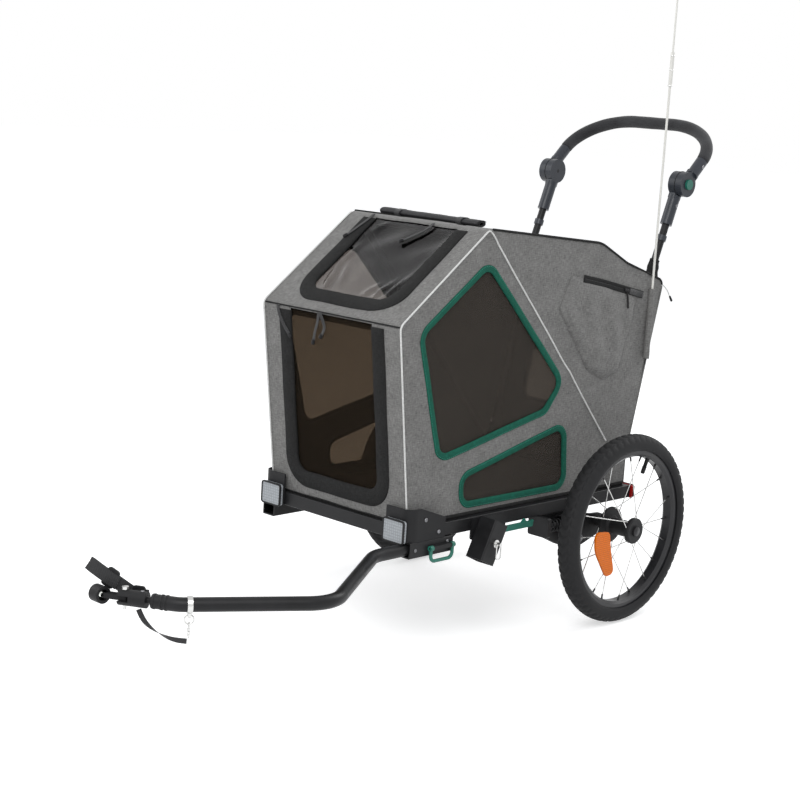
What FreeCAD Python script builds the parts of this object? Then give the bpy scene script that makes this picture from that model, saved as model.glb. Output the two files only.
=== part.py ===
import FreeCAD, Part
import math
import os
import re
import Sketcher

# Dog bike trailer, in millimetres. It is laid out with X to the trailer's left, Y to its rear
# and Z up, from the ground point under the middle of the wheel axle.

SIZES = {
    # clearances
    "running_gap": 0.05,        # between a shaft and its hole, on the radius
    "part_gap": 0.4,            # between pieces that pass each other
    # wheels
    "wheel_diameter": 400.0,
    "track": 578.0,             # between the two wheels' middle planes
    "tyre_width": 46.0,
    "tyre_wall": 5.0,
    "rim_opening": 308.0,       # inside diameter of the rim
    "rim_width": 30.0,
    "rim_bed": 9.0,             # from the rim's inside to the bed that the tyre sits on
    "rim_lip": 6.0,
    "rim_wall": 3.0,
    "hub_inner": 36.0,          # from the wheel's middle plane to the hub's inner face
    "hub_outer": 33.0,
    "inner_flange": 76.0,
    "outer_flange": 54.0,
    "flange_thick": 5.0,
    "hub_waist": 34.0,
    "axle_diameter": 10.0,
    "axle_shoulder": 20.0,
    "button_diameter": 22.0,
    "button_depth": 12.0,       # of the recess that the release button slides in
    "button_proud": 4.0,
    "button_length": 8.0,
    "spoke_diameter": 2.0,
    "spoke_stagger": 1.7,       # of crossing spokes, to each side of their flange
    "spoke_inset": 4.0,         # from the flange's edge to the spoke holes
    "spoke_bite": 1.0,          # of a spoke's end into the rim
    "spoke_splay": 0.12,        # share of the flange offset that is left at the rim
    "spoke_lean": 38.0,         # angle between a spoke's hub end and its rim end
    "reflector_inner": 62.0,    # inside radius of the spoke reflector's arc
    "reflector_outer": 100.0,
    "reflector_thick": 5.0,
    "reflector_span": 66.0,     # angle
    "reflector_start": 94.6,    # angle from straight up, turning forward
    # chassis
    "rail_centre": 192.0,
    "rail_width": 25.0,
    "rail_height": 27.0,
    "rail_wall": 2.0,
    "rail_top": 258.0,
    "rail_front": 535.0,        # ahead of the axle
    "rail_rear": 130.0,         # behind the axle
    "crossbar_depth": 25.0,
    "cover_round": 22.0,
    "cover_proud": 4.0,
    "cover_height": 64.0,
    "cover_length": 100.0,
    "cover_wall": 3.0,
    "floor_thick": 4.0,
    "mat_thick": 16.0,
    "mat_crown": 4.0,
    "mat_margin": 52.0,
    "lens_width": 36.0,
    "lens_height": 28.0,
    "lens_thick": 9.0,
    "rear_lens_thick": 6.0,
    # suspension
    "arm_centre": 214.0,        # middle plane of the trailing arm
    "arm_thick": 9.0,
    "pivot_ahead": 62.0,
    "pivot_height": 172.0,
    "pivot_pin": 10.0,
    "arm_boss": 17.0,           # radius
    "axle_boss": 24.0,
    "spring_height": 209.0,
    "spring_front": 168.0,
    "spring_rear": 86.0,
    "spring_outside": 26.0,
    "spring_wire": 3.0,
    "spring_turns": 8.0,
    "spring_rod": 10.0,
    "boot_diameter": 36.0,
    "boot_length": 34.0,
    "boot_wall": 2.5,
    "seat_thick": 10.0,
    "plate_thick": 12.0,
    # tow socket and tow arm
    "socket_height": 31.0,
    "socket_width": 34.0,
    "socket_wall": 2.6,
    "socket_length": 120.0,
    "tow_diameter": 25.0,
    "tow_wall": 2.0,
    "tow_tail": 110.0,
    "tow_bend_ahead": 640.0,
    "tow_elbow_left": 364.0,
    "tow_elbow_ahead": 904.0,
    "tow_end_left": 222.0,
    "tow_end_ahead": 1125.0,
    "tow_bend_radius": 70.0,
    "tow_end_radius": 42.0,
    "hitch_left": 98.0,
    "hitch_ahead": 1196.0,
    "tow_end_run": 48.0,
    "ball_inset": 6.0,
    "coupling_neck": 10.0,
    "coupling_gap": 9.0,
    "coupling_diameter": 28.0,
    "coupling_length": 50.0,
    "fork_slot": 10.0,
    "fork_depth": 20.0,
    "hitch_pin": 6.0,
    "hitch_neck": 9.0,
    "hitch_neck_width": 14.0,
    "cup_diameter": 30.0,
    "cup_depth": 22.0,
    "cup_wall": 4.0,
    "nut_diameter": 20.0,
    "nut_height": 15.0,
    "nut_bore": 9.0,
    "ring_band": 30.0,
    "ring_width": 9.0,
    "ring_behind": 17.0,        # from the tow tube's last bend back to the strap ring
    "ring_eye": 18.0,           # from the tow tube's middle down to the ring's eye
    "ring_wire": 3.0,
    "ring_radius": 8.0,
    "hook_radius": 5.0,
    "hook_shank": 6.0,
    "hook_eye": 6.0,
    "strap_width": 25.0,
    "strap_thick": 3.0,
    "strap_back": 8.0,
    "strap_turn": 34.0,
    "strap_reach": 120.0,
    "strap_lift": 46.0,
    "strap_cord": 9.0,          # diameter of the narrow hanging strap
    "strap_from": 15.0,
    "strap_drop": 47.0,
    "latch_pin": 4.0,
    "latch_wire": 7.0,
    "latch_drop": 26.0,
    "latch_span": 60.0,
    # stroller wheel socket, its pin and the lock lever
    "stem_socket": 42.0,
    "stem_wall": 3.0,
    "bracket_plate": 3.0,
    "stem_length": 84.0,
    "stem_tilt": 25.6,
    "stem_ahead": 362.0,
    "stem_height": 212.0,
    "lynch_diameter": 8.0,
    "lynch_head": 16.0,
    "bail_drop": 30.0,
    "bail_wire": 2.6,
    "lever_ahead": 296.0,
    "lever_length": 92.0,
    "lever_height": 222.0,
    "lever_width": 12.0,
    "lever_thick": 5.0,
    "lever_pin": 5.0,
    # folding cabin frame
    "frame_tube": 16.0,
    "frame_wall": 1.5,
    "hinge_pin": 6.0,
    "hinge_plate": 4.0,
    "hinge_foot": 20.0,
    "hinge_lug": 13.0,
    "tube_tail": 12.0,          # of tube below its hinge pin
    "hoop_half": 172.0,         # from the middle plane to the main hoop's legs
    "front_hoop_half": 152.0,
    "front_pivot_ahead": 534.0,
    "front_pivot_height": 279.0,
    "front_top_ahead": 586.0,
    "front_top_height": 633.0,
    "main_pivot_behind": 82.0,
    "main_pivot_height": 300.0,
    "main_top_ahead": 365.0,
    "main_top_height": 805.0,
    "hoop_radius": 45.0,
    "post_pivot_behind": 108.0,
    "post_pivot_height": 335.0,
    "post_bend_behind": 190.0,
    "post_bend_height": 735.0,
    "post_bend_radius": 120.0,
    "joint_behind": 255.0,
    "joint_height": 905.0,
    "roof_bar_height": 690.0,
    "collar_diameter": 21.0,
    "collar_length": 12.0,
    # push bar
    "joint_diameter": 54.0,
    "joint_half": 17.0,         # width of each half of the handle joint
    "joint_pin": 8.0,
    "joint_sleeve": 26.0,
    "joint_sleeve_length": 66.0,
    "bar_sleeve_length": 72.0,
    "bar_tilt": 43.0,           # of the push bar above level
    "bar_reach": 178.0,
    "bar_half": 190.0,
    "bar_radius": 72.0,
    "foam_diameter": 27.0,
    "knob_diameter": 22.0,
    "knob_proud": 5.0,
    "knob_length": 10.0,
    "knob_travel": 3.0,
    # cabin cover
    "cover_half": 190.0,
    "fabric": 2.0,
    "front_foot_ahead": 550.0,
    "front_corner_ahead": 602.0,
    "front_corner_height": 645.0,
    "peak_ahead": 370.0,
    "peak_height": 820.0,
    "kink_ahead": 20.0,
    "kink_height": 785.0,
    "dip_behind": 71.0,
    "dip_height": 741.0,
    "back_top_behind": 205.0,
    "back_top_height": 698.0,
    "back_low_behind": 130.0,
    "back_low_height": 360.0,
    "back_foot_behind": 122.0,
    "back_foot_height": 318.0,
    "window_round": 26.0,
    "lower_window_round": 12.0,
    "cover_bend": 20.0,
    "back_window_half": 120.0,
    "back_window_sill": 40.0,
    "back_window_head": 300.0,
    "roll_half": 130.0,
    "roll_diameter": 20.0,
    "roll_behind": 30.0,
    "drawcord": 2.0,
    "panel_thick": 1.2,
    "panel_lap": 0.4,
    "front_window_half": 143.0,
    "front_window_sill": 56.0,
    "front_window_head": 20.0,
    "roof_window_half": 128.0,
    "roof_window_margin": 42.0,
    "post_hole": 22.0,
    "pocket_deep": 14.0,
    # flag
    "pole_left": 197.0,
    "pole_behind": 158.0,
    "pole_diameter": 5.0,
    "pole_bottom": 535.0,
    "pole_joint": 1145.0,
    "pole_top": 1850.0,
    "ferrule_diameter": 8.0,
    "ferrule_length": 70.0,
    "sleeve_diameter": 14.0,
    "sleeve_top": 684.0,
    "pennant_length": 260.0,
    "pennant_height": 150.0,
    "pennant_thick": 1.0,
}
SPOKES_A_SIDE = 10
CORDS = ("safety_strap", "drawcord")
# Corners of the sewn pieces on the cover's sides, as (behind the axle, height)
OUTLINES = {
    "side_window": [(-540, 625), (-367, 748), (-122, 503), (-167, 450), (-472, 385)],
    "lower_window": [(-413, 313), (-380, 285), (-92, 285), (-90, 385), (-126, 408)],
    "pocket": [(-110, 725), (-143, 653), (-38, 522), (15, 497), (65, 510), (123, 671)],
}
for outline, places in OUTLINES.items():
    for i, (behind, height) in enumerate(places, 1):
        SIZES[f"{outline}_y{i}"] = behind
        SIZES[f"{outline}_z{i}"] = height

doc = FreeCAD.newDocument("dog_bike_trailer")
sheet = doc.addObject("Spreadsheet::Sheet", "dims")
for row, (alias, value) in enumerate(SIZES.items(), 1):
    sheet.set(f"A{row}", alias)
    sheet.set(f"B{row}", str(value))
    sheet.setAlias(f"B{row}", alias)
reader = doc.addObject("App::FeaturePython", "reader")
doc.recompute()

PLANES = {"x": "YZ_Plane", "y": "XZ_Plane", "z": "XY_Plane"}
sub_parts = {}


def bound(text):
    """The expression with each size's name pointed at its cell."""
    return re.sub(r"[a-z][a-z_0-9]*", lambda m: "dims." + m[0] if m[0] in SIZES else m[0], str(text))


def val(text):
    """The value of an expression in the sheet's sizes."""
    return float(reader.evalExpression(bound(text)))


def point(x, y, z):
    """A place from three expressions."""
    return FreeCAD.Vector(val(x), val(y), val(z))


def keep(label, shape_object):
    """Name a finished sub-part."""
    shape_object.Label = label
    sub_parts[label] = shape_object
    return shape_object


def new_body(label):
    """An empty body to build in."""
    return doc.addObject("PartDesign::Body", label)


def group(label, *pieces):
    """Several solids that share one node."""
    together = doc.addObject("Part::Compound", label)
    together.Links = list(pieces)
    return keep(label, together)


def feature(label, shape):
    """A ready shape as an object of the document."""
    made = doc.addObject("Part::Feature", label)
    made.Shape = shape
    return made


def new_sketch(body, axis, offset=("0", "0", "0"), turn=None):
    """A sketch square to an axis. offset is in trailer axes, turn is (local axis, angle)."""
    plane = next(f for f in body.Origin.OriginFeatures if f.Role == PLANES[axis])
    sketch = body.newObject("Sketcher::SketchObject", "outline")
    sketch.AttachmentSupport = [(plane, "")]
    sketch.MapMode = "FlatFace"
    if turn:
        sketch.AttachmentOffset = FreeCAD.Placement(FreeCAD.Vector(), FreeCAD.Rotation(turn[0], val(turn[1])))
        sketch.setExpression("AttachmentOffset.Rotation.Angle", bound(turn[1]))
    x, y, z = offset
    local = {"x": (y, z, x), "y": (x, z, f"-({y})"), "z": (x, y, z)}[axis]
    for name, text in zip("xyz", local):
        if text != "0":
            sketch.setExpression(f"AttachmentOffset.Base.{name}", bound(text))
    return sketch


def flat_point(place):
    """A sketch point from two expressions."""
    return FreeCAD.Vector(val(place[0]), val(place[1]), 0)


def pinned(item, place):
    """The rules that tie a point of a sketch to two expressions."""
    return [(Sketcher.Constraint(kind, -1, 1, item[0], item[1], val(text)), text)
            for kind, text in zip(("DistanceX", "DistanceY"), place)]


def tie(sketch, rules):
    """Add all rules in one go, so that the outline is solved from where it was drawn."""
    numbers = sketch.addConstraint([rule for rule, _ in rules])
    for number, (_, text) in zip(numbers, rules):
        if text:
            sketch.setExpression(f"Constraints[{number}]", bound(text))


def arc_ends(before, corner, after):
    """Where a rounded corner's arc meets the runs before and after it."""
    x, y, radius = corner
    legs = []
    for other in (before, after):
        dx, dy = f"(({other[0]}) - ({x}))", f"(({other[1]}) - ({y}))"
        legs.append((dx, dy, f"sqrt({dx} ^ 2 + {dy} ^ 2)"))
    (bx, by, back), (ax, ay, on) = legs
    cosine = f"(({bx} * {ax} + {by} * {ay}) / ({back} * {on}))"
    trim = f"({radius}) * sqrt((1 + {cosine}) / (1 - {cosine}))"
    return [(f"{x} + {trim} * {dx} / {length}", f"{y} + {trim} * {dy} / {length}") for dx, dy, length in legs]


def draw(sketch, corners, closed=True):
    """Straight runs through the corners, rounded by tangent arcs where a corner gives a radius."""
    count = len(corners)
    runs = count if closed else count - 1
    stops = [arc_ends(corners[i - 1], c, corners[(i + 1) % count]) if len(c) > 2 else [c, c]
             for i, c in enumerate(corners)]
    lines = []
    arcs = {}
    for i in range(runs):
        if len(corners[i]) > 2 and i:
            arcs[i] = draw_arc(sketch, corners[i], stops[i])
        ends_at = (flat_point(stops[i][1]), flat_point(stops[(i + 1) % count][0]))
        lines.append(sketch.addGeometry(Part.LineSegment(*ends_at), False))
    if len(corners[0]) > 2:
        arcs[0] = draw_arc(sketch, corners[0], stops[0])
    rules = []
    for i in range(count):
        before = (lines[i - 1], 2) if closed or i else None
        after = (lines[i], 1) if i < runs else None
        if i in arcs:
            arc, first = arcs[i]
            rules += pinned(before, stops[i][0]) + pinned(after, stops[i][1])
            rules += [(Sketcher.Constraint("Coincident", *before, arc, first), None),
                      (Sketcher.Constraint("Coincident", *after, arc, 3 - first), None),
                      (Sketcher.Constraint("Radius", arc, val(corners[i][2])), corners[i][2])]
            continue
        if before and after:
            rules.append((Sketcher.Constraint("Coincident", *before, *after), None))
        rules += pinned(after or before, corners[i])
    tie(sketch, rules)
    return runs + len(arcs)


def draw_arc(sketch, corner, stops):
    """The tangent arc at a corner, with the number of its end that lies on the run before it."""
    place, start, stop = flat_point(corner), flat_point(stops[0]), flat_point(stops[1])
    radius = val(corner[2])
    middle = (start + stop - place * 2).normalize()
    centre = place + middle * math.hypot(radius, (start - place).Length)
    first = 1 if (place - start).cross(stop - place).z > 0 else 2
    low, high = (start, stop) if first == 1 else (stop, start)
    angles = [math.atan2(p.y - centre.y, p.x - centre.x) for p in (low, high)]
    circle = Part.Circle(centre, FreeCAD.Vector(0, 0, 1), radius)
    return sketch.addGeometry(Part.ArcOfCircle(circle, *angles), False), first


def draw_circle(sketch, centre, diameter):
    circle = Part.Circle(flat_point(centre), FreeCAD.Vector(0, 0, 1), val(diameter) / 2)
    number = sketch.addGeometry(circle, False)
    size = (Sketcher.Constraint("Diameter", number, val(diameter)), diameter)
    tie(sketch, [size] + pinned((number, 3), centre))


def solid(body, kind, sketch, length):
    made = body.newObject(f"PartDesign::{kind}", kind.lower())
    made.Profile = sketch
    made.setExpression("Length", bound(length))
    doc.recompute()
    return made


def ends(axis, low, high, adding):
    """The sketch plane's offset for a prism between two places on an axis."""
    place = high if adding == (axis == "y") else low
    return {"x": (place, "0", "0"), "y": ("0", place, "0"), "z": ("0", "0", place)}[axis]


def prism(body, axis, low, high, corners, adding=True):
    """Add or cut a straight prism that runs from low to high along an axis."""
    sketch = new_sketch(body, axis, ends(axis, low, high, adding))
    draw(sketch, corners)
    return solid(body, "Pad" if adding else "Pocket", sketch, f"({high}) - ({low})")


def bar(body, axis, low, high, centre, diameter, adding=True):
    """Add or cut a round bar along an axis."""
    sketch = new_sketch(body, axis, ends(axis, low, high, adding))
    draw_circle(sketch, centre, diameter)
    return solid(body, "Pad" if adding else "Pocket", sketch, f"({high}) - ({low})")


def turned(body, corners, height="wheel_diameter / 2", ahead="0", start="0", sweep="360"):
    """A solid turned about a crosswise axis. corners are (place along X, radius)."""
    sketch = new_sketch(body, "y", ("0", f"-({ahead})", height), (FreeCAD.Vector(1, 0, 0), start))
    draw(sketch, corners)
    spun = body.newObject("PartDesign::Revolution", "turning")
    spun.Profile = sketch
    spun.ReferenceAxis = (sketch, ["H_Axis"])
    spun.setExpression("Angle", bound(sweep))
    doc.recompute()
    return spun


def bent_tube(body, axis, offset, turn, corners, outside, inside=None):
    """A round tube along straight runs and tangent arcs in one plane."""
    path = new_sketch(body, axis, offset, turn)
    edges = draw(path, corners, closed=False)
    doc.recompute()
    ring = body.newObject("Sketcher::SketchObject", "section")
    ring.AttachmentSupport = [(path, "Edge1")]
    ring.MapMode = "NormalToEdge"
    ring.MapPathParameter = 0.0
    draw_circle(ring, ("0", "0"), outside)
    if inside:
        draw_circle(ring, ("0", "0"), inside)
    doc.recompute()
    pipe = body.newObject("PartDesign::AdditivePipe", "tube")
    pipe.Profile = ring
    pipe.Spine = (path, [f"Edge{i + 1}" for i in range(edges)])
    doc.recompute()
    return pipe


def box_corners(left, right, low, high, radius=None):
    corners = [(left, low), (right, low), (right, high), (left, high)]
    return [c + (radius,) for c in corners] if radius else corners


def sided(side, near, far):
    """Two places measured outwards from the middle plane, in rising X order."""
    if side > 0:
        return near, far
    return f"-({far})", f"-({near})"


SIDES = (("left", 1), ("right", -1))
rail_bottom = "(rail_top - rail_height)"
rail_inner = "(rail_centre - rail_width / 2)"
rail_outer = "(rail_centre + rail_width / 2)"
axle_height = "(wheel_diameter / 2)"
floor_top = "(rail_top + floor_thick)"


# Chassis: rails, crossbars, corner covers, floor and reflectors

def side_rail(side):
    body = new_body("side_rail")
    low, high = sided(side, rail_inner, rail_outer)
    prism(body, "y", "-rail_front", "rail_rear", box_corners(low, high, rail_bottom, "rail_top", "rail_wall"))
    inner = box_corners(f"{low} + rail_wall", f"{high} - rail_wall",
                        f"{rail_bottom} + rail_wall", "rail_top - rail_wall")
    prism(body, "y", "-rail_front", "rail_rear", inner, adding=False)
    return body


def crossbar(low, high, half):
    """A box tube across the chassis."""
    body = new_body("crossbar")
    prism(body, "x", f"-({half})", half, box_corners(low, high, rail_bottom, "rail_top", "rail_wall"))
    inner = box_corners(f"{low} + rail_wall", f"{high} - rail_wall",
                        f"{rail_bottom} + rail_wall", "rail_top - rail_wall")
    prism(body, "x", f"-({half})", half, inner, adding=False)
    return body


def corner_cover(side):
    """A moulded cap round the front corner of the rail and the crossbar, open below and inside."""
    body = new_body("corner_cover")
    front = "-(rail_front + crossbar_depth + cover_proud)"
    rear = f"({front} + cover_length)"
    out = f"{rail_outer} + cover_proud"
    inn = f"{rail_outer} - cover_length * 0.6"
    low, high = sided(side, inn, out)
    edge = high if side > 0 else low
    other = low if side > 0 else high
    foot = rail_bottom
    top = f"{rail_bottom} + cover_height"
    corners = [(other, rear), (edge, rear), (edge, front, "cover_round"), (other, front)]
    prism(body, "z", foot, top, corners)
    lift = f"{rail_bottom} + cover_height * 0.62"
    slope = [(f"{rear} + 1", lift), (f"{rear} + 1", f"{top} + 1"),
             (f"{front} + cover_length * 0.3", f"{top} + 1")]
    prism(body, "x", f"{low} - 1", f"{high} + 1", slope, adding=False)
    wide = [(f"{other} - {side}", f"{rear} + 1"), (f"{edge} - {side} * cover_wall", f"{rear} + 1"),
            (f"{edge} - {side} * cover_wall", f"{front} + cover_wall", "cover_round - cover_wall"),
            (f"{other} - {side}", f"{front} + cover_wall")]
    prism(body, "z", f"{foot} - 1", f"{top} + 1", wide, adding=False)
    return body


def floor_panel():
    body = new_body("floor_panel")
    half = f"{rail_inner} + rail_width * 0.3"
    corners = [(f"-({half})", "-(front_foot_ahead - fabric - 1)"), (half, "-(front_foot_ahead - fabric - 1)"),
               (half, "back_foot_behind - fabric - 1"), (f"-({half})", "back_foot_behind - fabric - 1")]
    prism(body, "z", "rail_top", floor_top, corners)
    keep("floor_panel", body)


def floor_mat():
    """A padded mat with a crowned top, drawn in at its edge."""
    body = new_body("floor_mat")
    half = "(hoop_half - mat_margin)"
    front = "-(front_pivot_ahead - mat_margin)"
    rear = "(back_foot_behind - mat_margin)"
    sections = (("0", "0"), ("mat_thick * 0.4", "-mat_crown"), ("mat_thick * 0.8", "0"),
                ("mat_thick", "mat_crown * 3"))
    profiles = []
    for lift, inset in sections:
        sketch = new_sketch(body, "z", ("0", "0", f"{floor_top} + {lift}"))
        left, right = f"-({half} - ({inset}))", f"{half} - ({inset})"
        draw(sketch, box_corners(left, right, f"{front} + ({inset})", f"{rear} - ({inset})", "cover_round"))
        profiles.append(sketch)
    doc.recompute()
    loft = body.newObject("PartDesign::AdditiveLoft", "pad")
    loft.Profile = profiles[0]
    loft.Sections = profiles[1:]
    loft.Ruled = True
    doc.recompute()
    keep("floor_mat", body)


def reflector(label, side, low, high, centre_height, along):
    """A block lens with rounded corners."""
    body = new_body(label)
    left, right = sided(side, f"{along} - lens_width / 2", f"{along} + lens_width / 2")
    bottom, top = f"{centre_height} - lens_height / 2", f"{centre_height} + lens_height / 2"
    prism(body, "y", low, high, box_corners(left, right, bottom, top, "rail_wall * 2"))
    return body


# Suspension: fixed plate, pivot pin, trailing arm, coil spring

def suspension_bracket(side):
    """The plate welded under the rail, with the spring's front seat and guide rod."""
    body = new_body("suspension_bracket")
    near = rail_inner
    far = f"({rail_inner} + plate_thick)"
    low, high = sided(side, near, far)
    front = "-(spring_front + seat_thick)"
    rear = "-(pivot_ahead - arm_boss)"
    foot = "(pivot_height - arm_boss)"
    corners = [(front, rail_bottom), (front, "spring_height - spring_outside / 2", "seat_thick / 2"),
               ("-(pivot_ahead + arm_boss * 1.6)", foot, "arm_boss"), (rear, foot, "arm_boss"),
               (rear, rail_bottom)]
    prism(body, "x", low, high, corners)
    reach = "arm_centre + spring_outside * 0.7"
    low, high = sided(side, near, reach)
    drop = "spring_height - spring_outside * 0.75"
    prism(body, "y", front, "-spring_front",
          box_corners(low, high, drop, f"{rail_bottom} - part_gap", "seat_thick / 2"))
    bar(body, "y", "-(spring_front + seat_thick / 2)", "-(spring_rear + boot_length * 0.75)",
        (f"{side} * arm_centre", "spring_height"), "spring_rod")
    low, high = sided(side, f"{near} - 1", f"{far} + 1")
    bar(body, "x", low, high, ("-pivot_ahead", "pivot_height"), "pivot_pin", adding=False)
    return body


def pivot_bolt(side):
    """The bolt that the trailing arm turns on, with its head outside."""
    body = new_body("pivot_bolt")
    outer = "(arm_centre + arm_thick / 2 + part_gap)"
    low, high = sided(side, rail_inner, outer)
    bar(body, "x", low, high, ("-pivot_ahead", "pivot_height"), "pivot_pin")
    low, high = sided(side, outer, f"{outer} + flange_thick")
    bar(body, "x", low, high, ("-pivot_ahead", "pivot_height"), "pivot_pin * 1.8")
    return body


def trailing_arm(name, side):
    """The swinging plate from pivot to axle, with its boot cup and the stub axle with a shoulder."""
    body = new_body(f"{name}_trailing_arm")
    low, high = sided(side, "arm_centre - arm_thick / 2", "arm_centre + arm_thick / 2")
    lever_top = "spring_height + boot_diameter / 2 - 1"
    corners = [("-(pivot_ahead + arm_boss)", "pivot_height - arm_boss * 0.8", "arm_boss * 0.7"),
               ("-(pivot_ahead - arm_boss)", "pivot_height - arm_boss", "arm_boss * 0.6"),
               ("axle_boss * 0.9", f"{axle_height} - axle_boss", "axle_boss * 0.7"),
               ("axle_boss", f"{axle_height} + axle_boss * 0.6", "axle_boss * 0.5"),
               ("-axle_boss * 0.6", f"{axle_height} + axle_boss * 0.7", "axle_boss * 0.5"),
               ("-(spring_rear - arm_boss * 1.4)", lever_top, "arm_boss * 0.4"),
               ("-spring_rear", lever_top), ("-spring_rear", "spring_height - boot_diameter / 2 - 1")]
    prism(body, "x", low, high, corners)
    bar(body, "x", f"{low} - 1", f"{high} + 1", ("-pivot_ahead", "pivot_height"),
        "pivot_pin + 2 * running_gap", adding=False)
    low, high = sided(side, "arm_centre", "(track / 2 + hub_outer - button_depth)")
    bar(body, "x", low, high, ("0", axle_height), "axle_diameter")
    low, high = sided(side, "arm_centre", "(track / 2 - hub_inner - part_gap)")
    bar(body, "x", low, high, ("0", axle_height), "axle_shoulder")
    cup = ("-(spring_rear + boot_length)", "-spring_rear")
    centre = (f"{side} * arm_centre", "spring_height")
    bar(body, "y", cup[0], f"{cup[1]} + boot_wall", centre, "boot_diameter")
    bar(body, "y", cup[0], cup[1], centre, "boot_diameter - 2 * boot_wall", adding=False)
    keep(f"{name}_trailing_arm", body)


def biarc(start, start_way, end, end_way):
    """Two tangent arcs from one point to another."""
    gap = end - start
    both = start_way + end_way
    spread = 1 - start_way.dot(end_way)
    lean = gap.dot(both)
    reach = (math.sqrt(lean * lean + 2 * spread * gap.dot(gap)) - lean) / (2 * spread)
    middle = (start + start_way * reach + end - end_way * reach) * 0.5
    arcs = []
    for a, b, way in ((start, middle, start_way), (end, middle, end_way * -1)):
        chord = b - a
        aside = (way - chord * (way.dot(chord) / chord.dot(chord))).normalize()
        rise = chord.Length / 2 * math.tan(way.getAngle(chord) / 2)
        through = (a + b) * 0.5 + aside * rise
        arcs.append(Part.Arc(a, through, b).toShape() if a is start else Part.Arc(b, through, a).toShape())
    return arcs


def coil_spring(name, side):
    """A compression spring along Y: one unbroken wire on quarter-turn biarcs."""
    radius = (val("spring_outside") - val("spring_wire")) / 2
    turns = val("spring_turns")
    front = -val("spring_front") + val("spring_wire / 2 + part_gap")
    rear = -val("spring_rear") - val("spring_wire / 2 + part_gap")
    pitch = (rear - front) / turns
    centre = point(f"{side} * arm_centre", "0", "spring_height")
    quarters = int(turns * 4)
    places = []
    ways = []
    for i in range(quarters + 1):
        angle = i * math.pi / 2
        out = FreeCAD.Vector(math.cos(angle), 0, math.sin(angle))
        round_way = FreeCAD.Vector(-math.sin(angle) * radius, pitch / (2 * math.pi), math.cos(angle) * radius)
        places.append(centre + out * radius + FreeCAD.Vector(0, front + pitch * i / 4, 0))
        ways.append(round_way.normalize())
    edges = []
    for i in range(quarters):
        edges += biarc(places[i], ways[i], places[i + 1], ways[i + 1])
    path = Part.Wire(edges)
    ring = Part.Wire(Part.Circle(places[0], ways[0], val("spring_wire") / 2).toShape())
    print(name, "spring: least gap between turns", round(pitch - val("spring_wire"), 2), "mm")
    keep(f"{name}_spring", feature(f"{name}_spring", path.makePipeShell([ring], True, False)))


# Wheels

def tyre(name, side):
    """A hollow tyre: beads in the rim, round shoulders and a flat tread."""
    body = new_body(f"{name}_tyre")
    plane = f"{side} * track / 2"
    bead = "(rim_width / 2 - rim_wall - part_gap)"
    bed = "(rim_opening / 2 + rim_bed)"
    lip = f"({bed} + rim_lip + part_gap)"
    top = "wheel_diameter / 2"
    half = "tyre_width / 2"
    shoulder = f"({lip} + tyre_wall)"
    outer = [(bead, bed), (bead, lip), (half, shoulder, "tyre_wall"),
             (half, f"{top} - tyre_wall * 2", "tyre_wall * 1.6"), (f"{half} * 0.5", top)]
    inner = [(f"{half} * 0.5 - tyre_wall * 0.4", f"{top} - tyre_wall"),
             (f"{half} - tyre_wall", f"{top} - tyre_wall * 2.6"), (f"{half} - tyre_wall", f"{shoulder} + 1"),
             (f"{bead} - tyre_wall * 0.9", f"{lip} + 1"), (f"{bead} - tyre_wall * 0.9", bed)]
    corners = outer + [(f"-({c[0]})",) + c[1:] for c in reversed(outer)]
    corners += [(f"-({c[0]})",) + c[1:] for c in reversed(inner)] + inner
    turned(body, [(f"{plane} + ({c[0]})",) + c[1:] for c in corners])
    keep(f"{name}_tyre", body)


def rim(name, side):
    body = new_body(f"{name}_rim")
    plane = f"{side} * track / 2"
    inside = "rim_opening / 2"
    bed = f"({inside} + rim_bed)"
    half = "rim_width / 2"
    one = [(f"{half} * 0.62", inside), (half, f"{inside} + rim_bed * 0.6"), (half, f"{bed} + rim_lip"),
           (f"{half} - rim_wall", f"{bed} + rim_lip"), (f"{half} - rim_wall", bed)]
    corners = one + [(f"-({c[0]})", c[1]) for c in reversed(one)]
    turned(body, [(f"{plane} + ({x})", r) for x, r in corners])
    keep(f"{name}_rim", body)


def hub(name, side):
    """The hub shell: two flanges on a waisted barrel, bored for the axle and a release button."""
    body = new_body(f"{name}_hub")
    waist = "hub_waist / 2"
    seat = "button_diameter / 2"
    bore = "axle_diameter / 2 + running_gap"
    recess = "hub_outer - button_depth"
    cap = "(hub_outer - flange_thick * 2)"
    corners = [("-hub_inner", bore), ("-hub_inner", "inner_flange / 2"),
               ("-hub_inner + flange_thick", "inner_flange / 2"),
               ("-hub_inner + flange_thick * 1.4", f"{waist} + flange_thick"),
               ("-hub_inner + flange_thick * 2.4", waist), (f"{cap} - flange_thick", waist),
               (cap, "outer_flange / 2"), ("hub_outer - flange_thick * 0.5", "outer_flange / 2"),
               ("hub_outer", "outer_flange / 2 - flange_thick * 0.5"), ("hub_outer", seat),
               (recess, seat), (recess, bore)]
    turned(body, [(f"{side} * (track / 2 + ({x}))", r) for x, r in corners])
    keep(f"{name}_hub", body)


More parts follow.
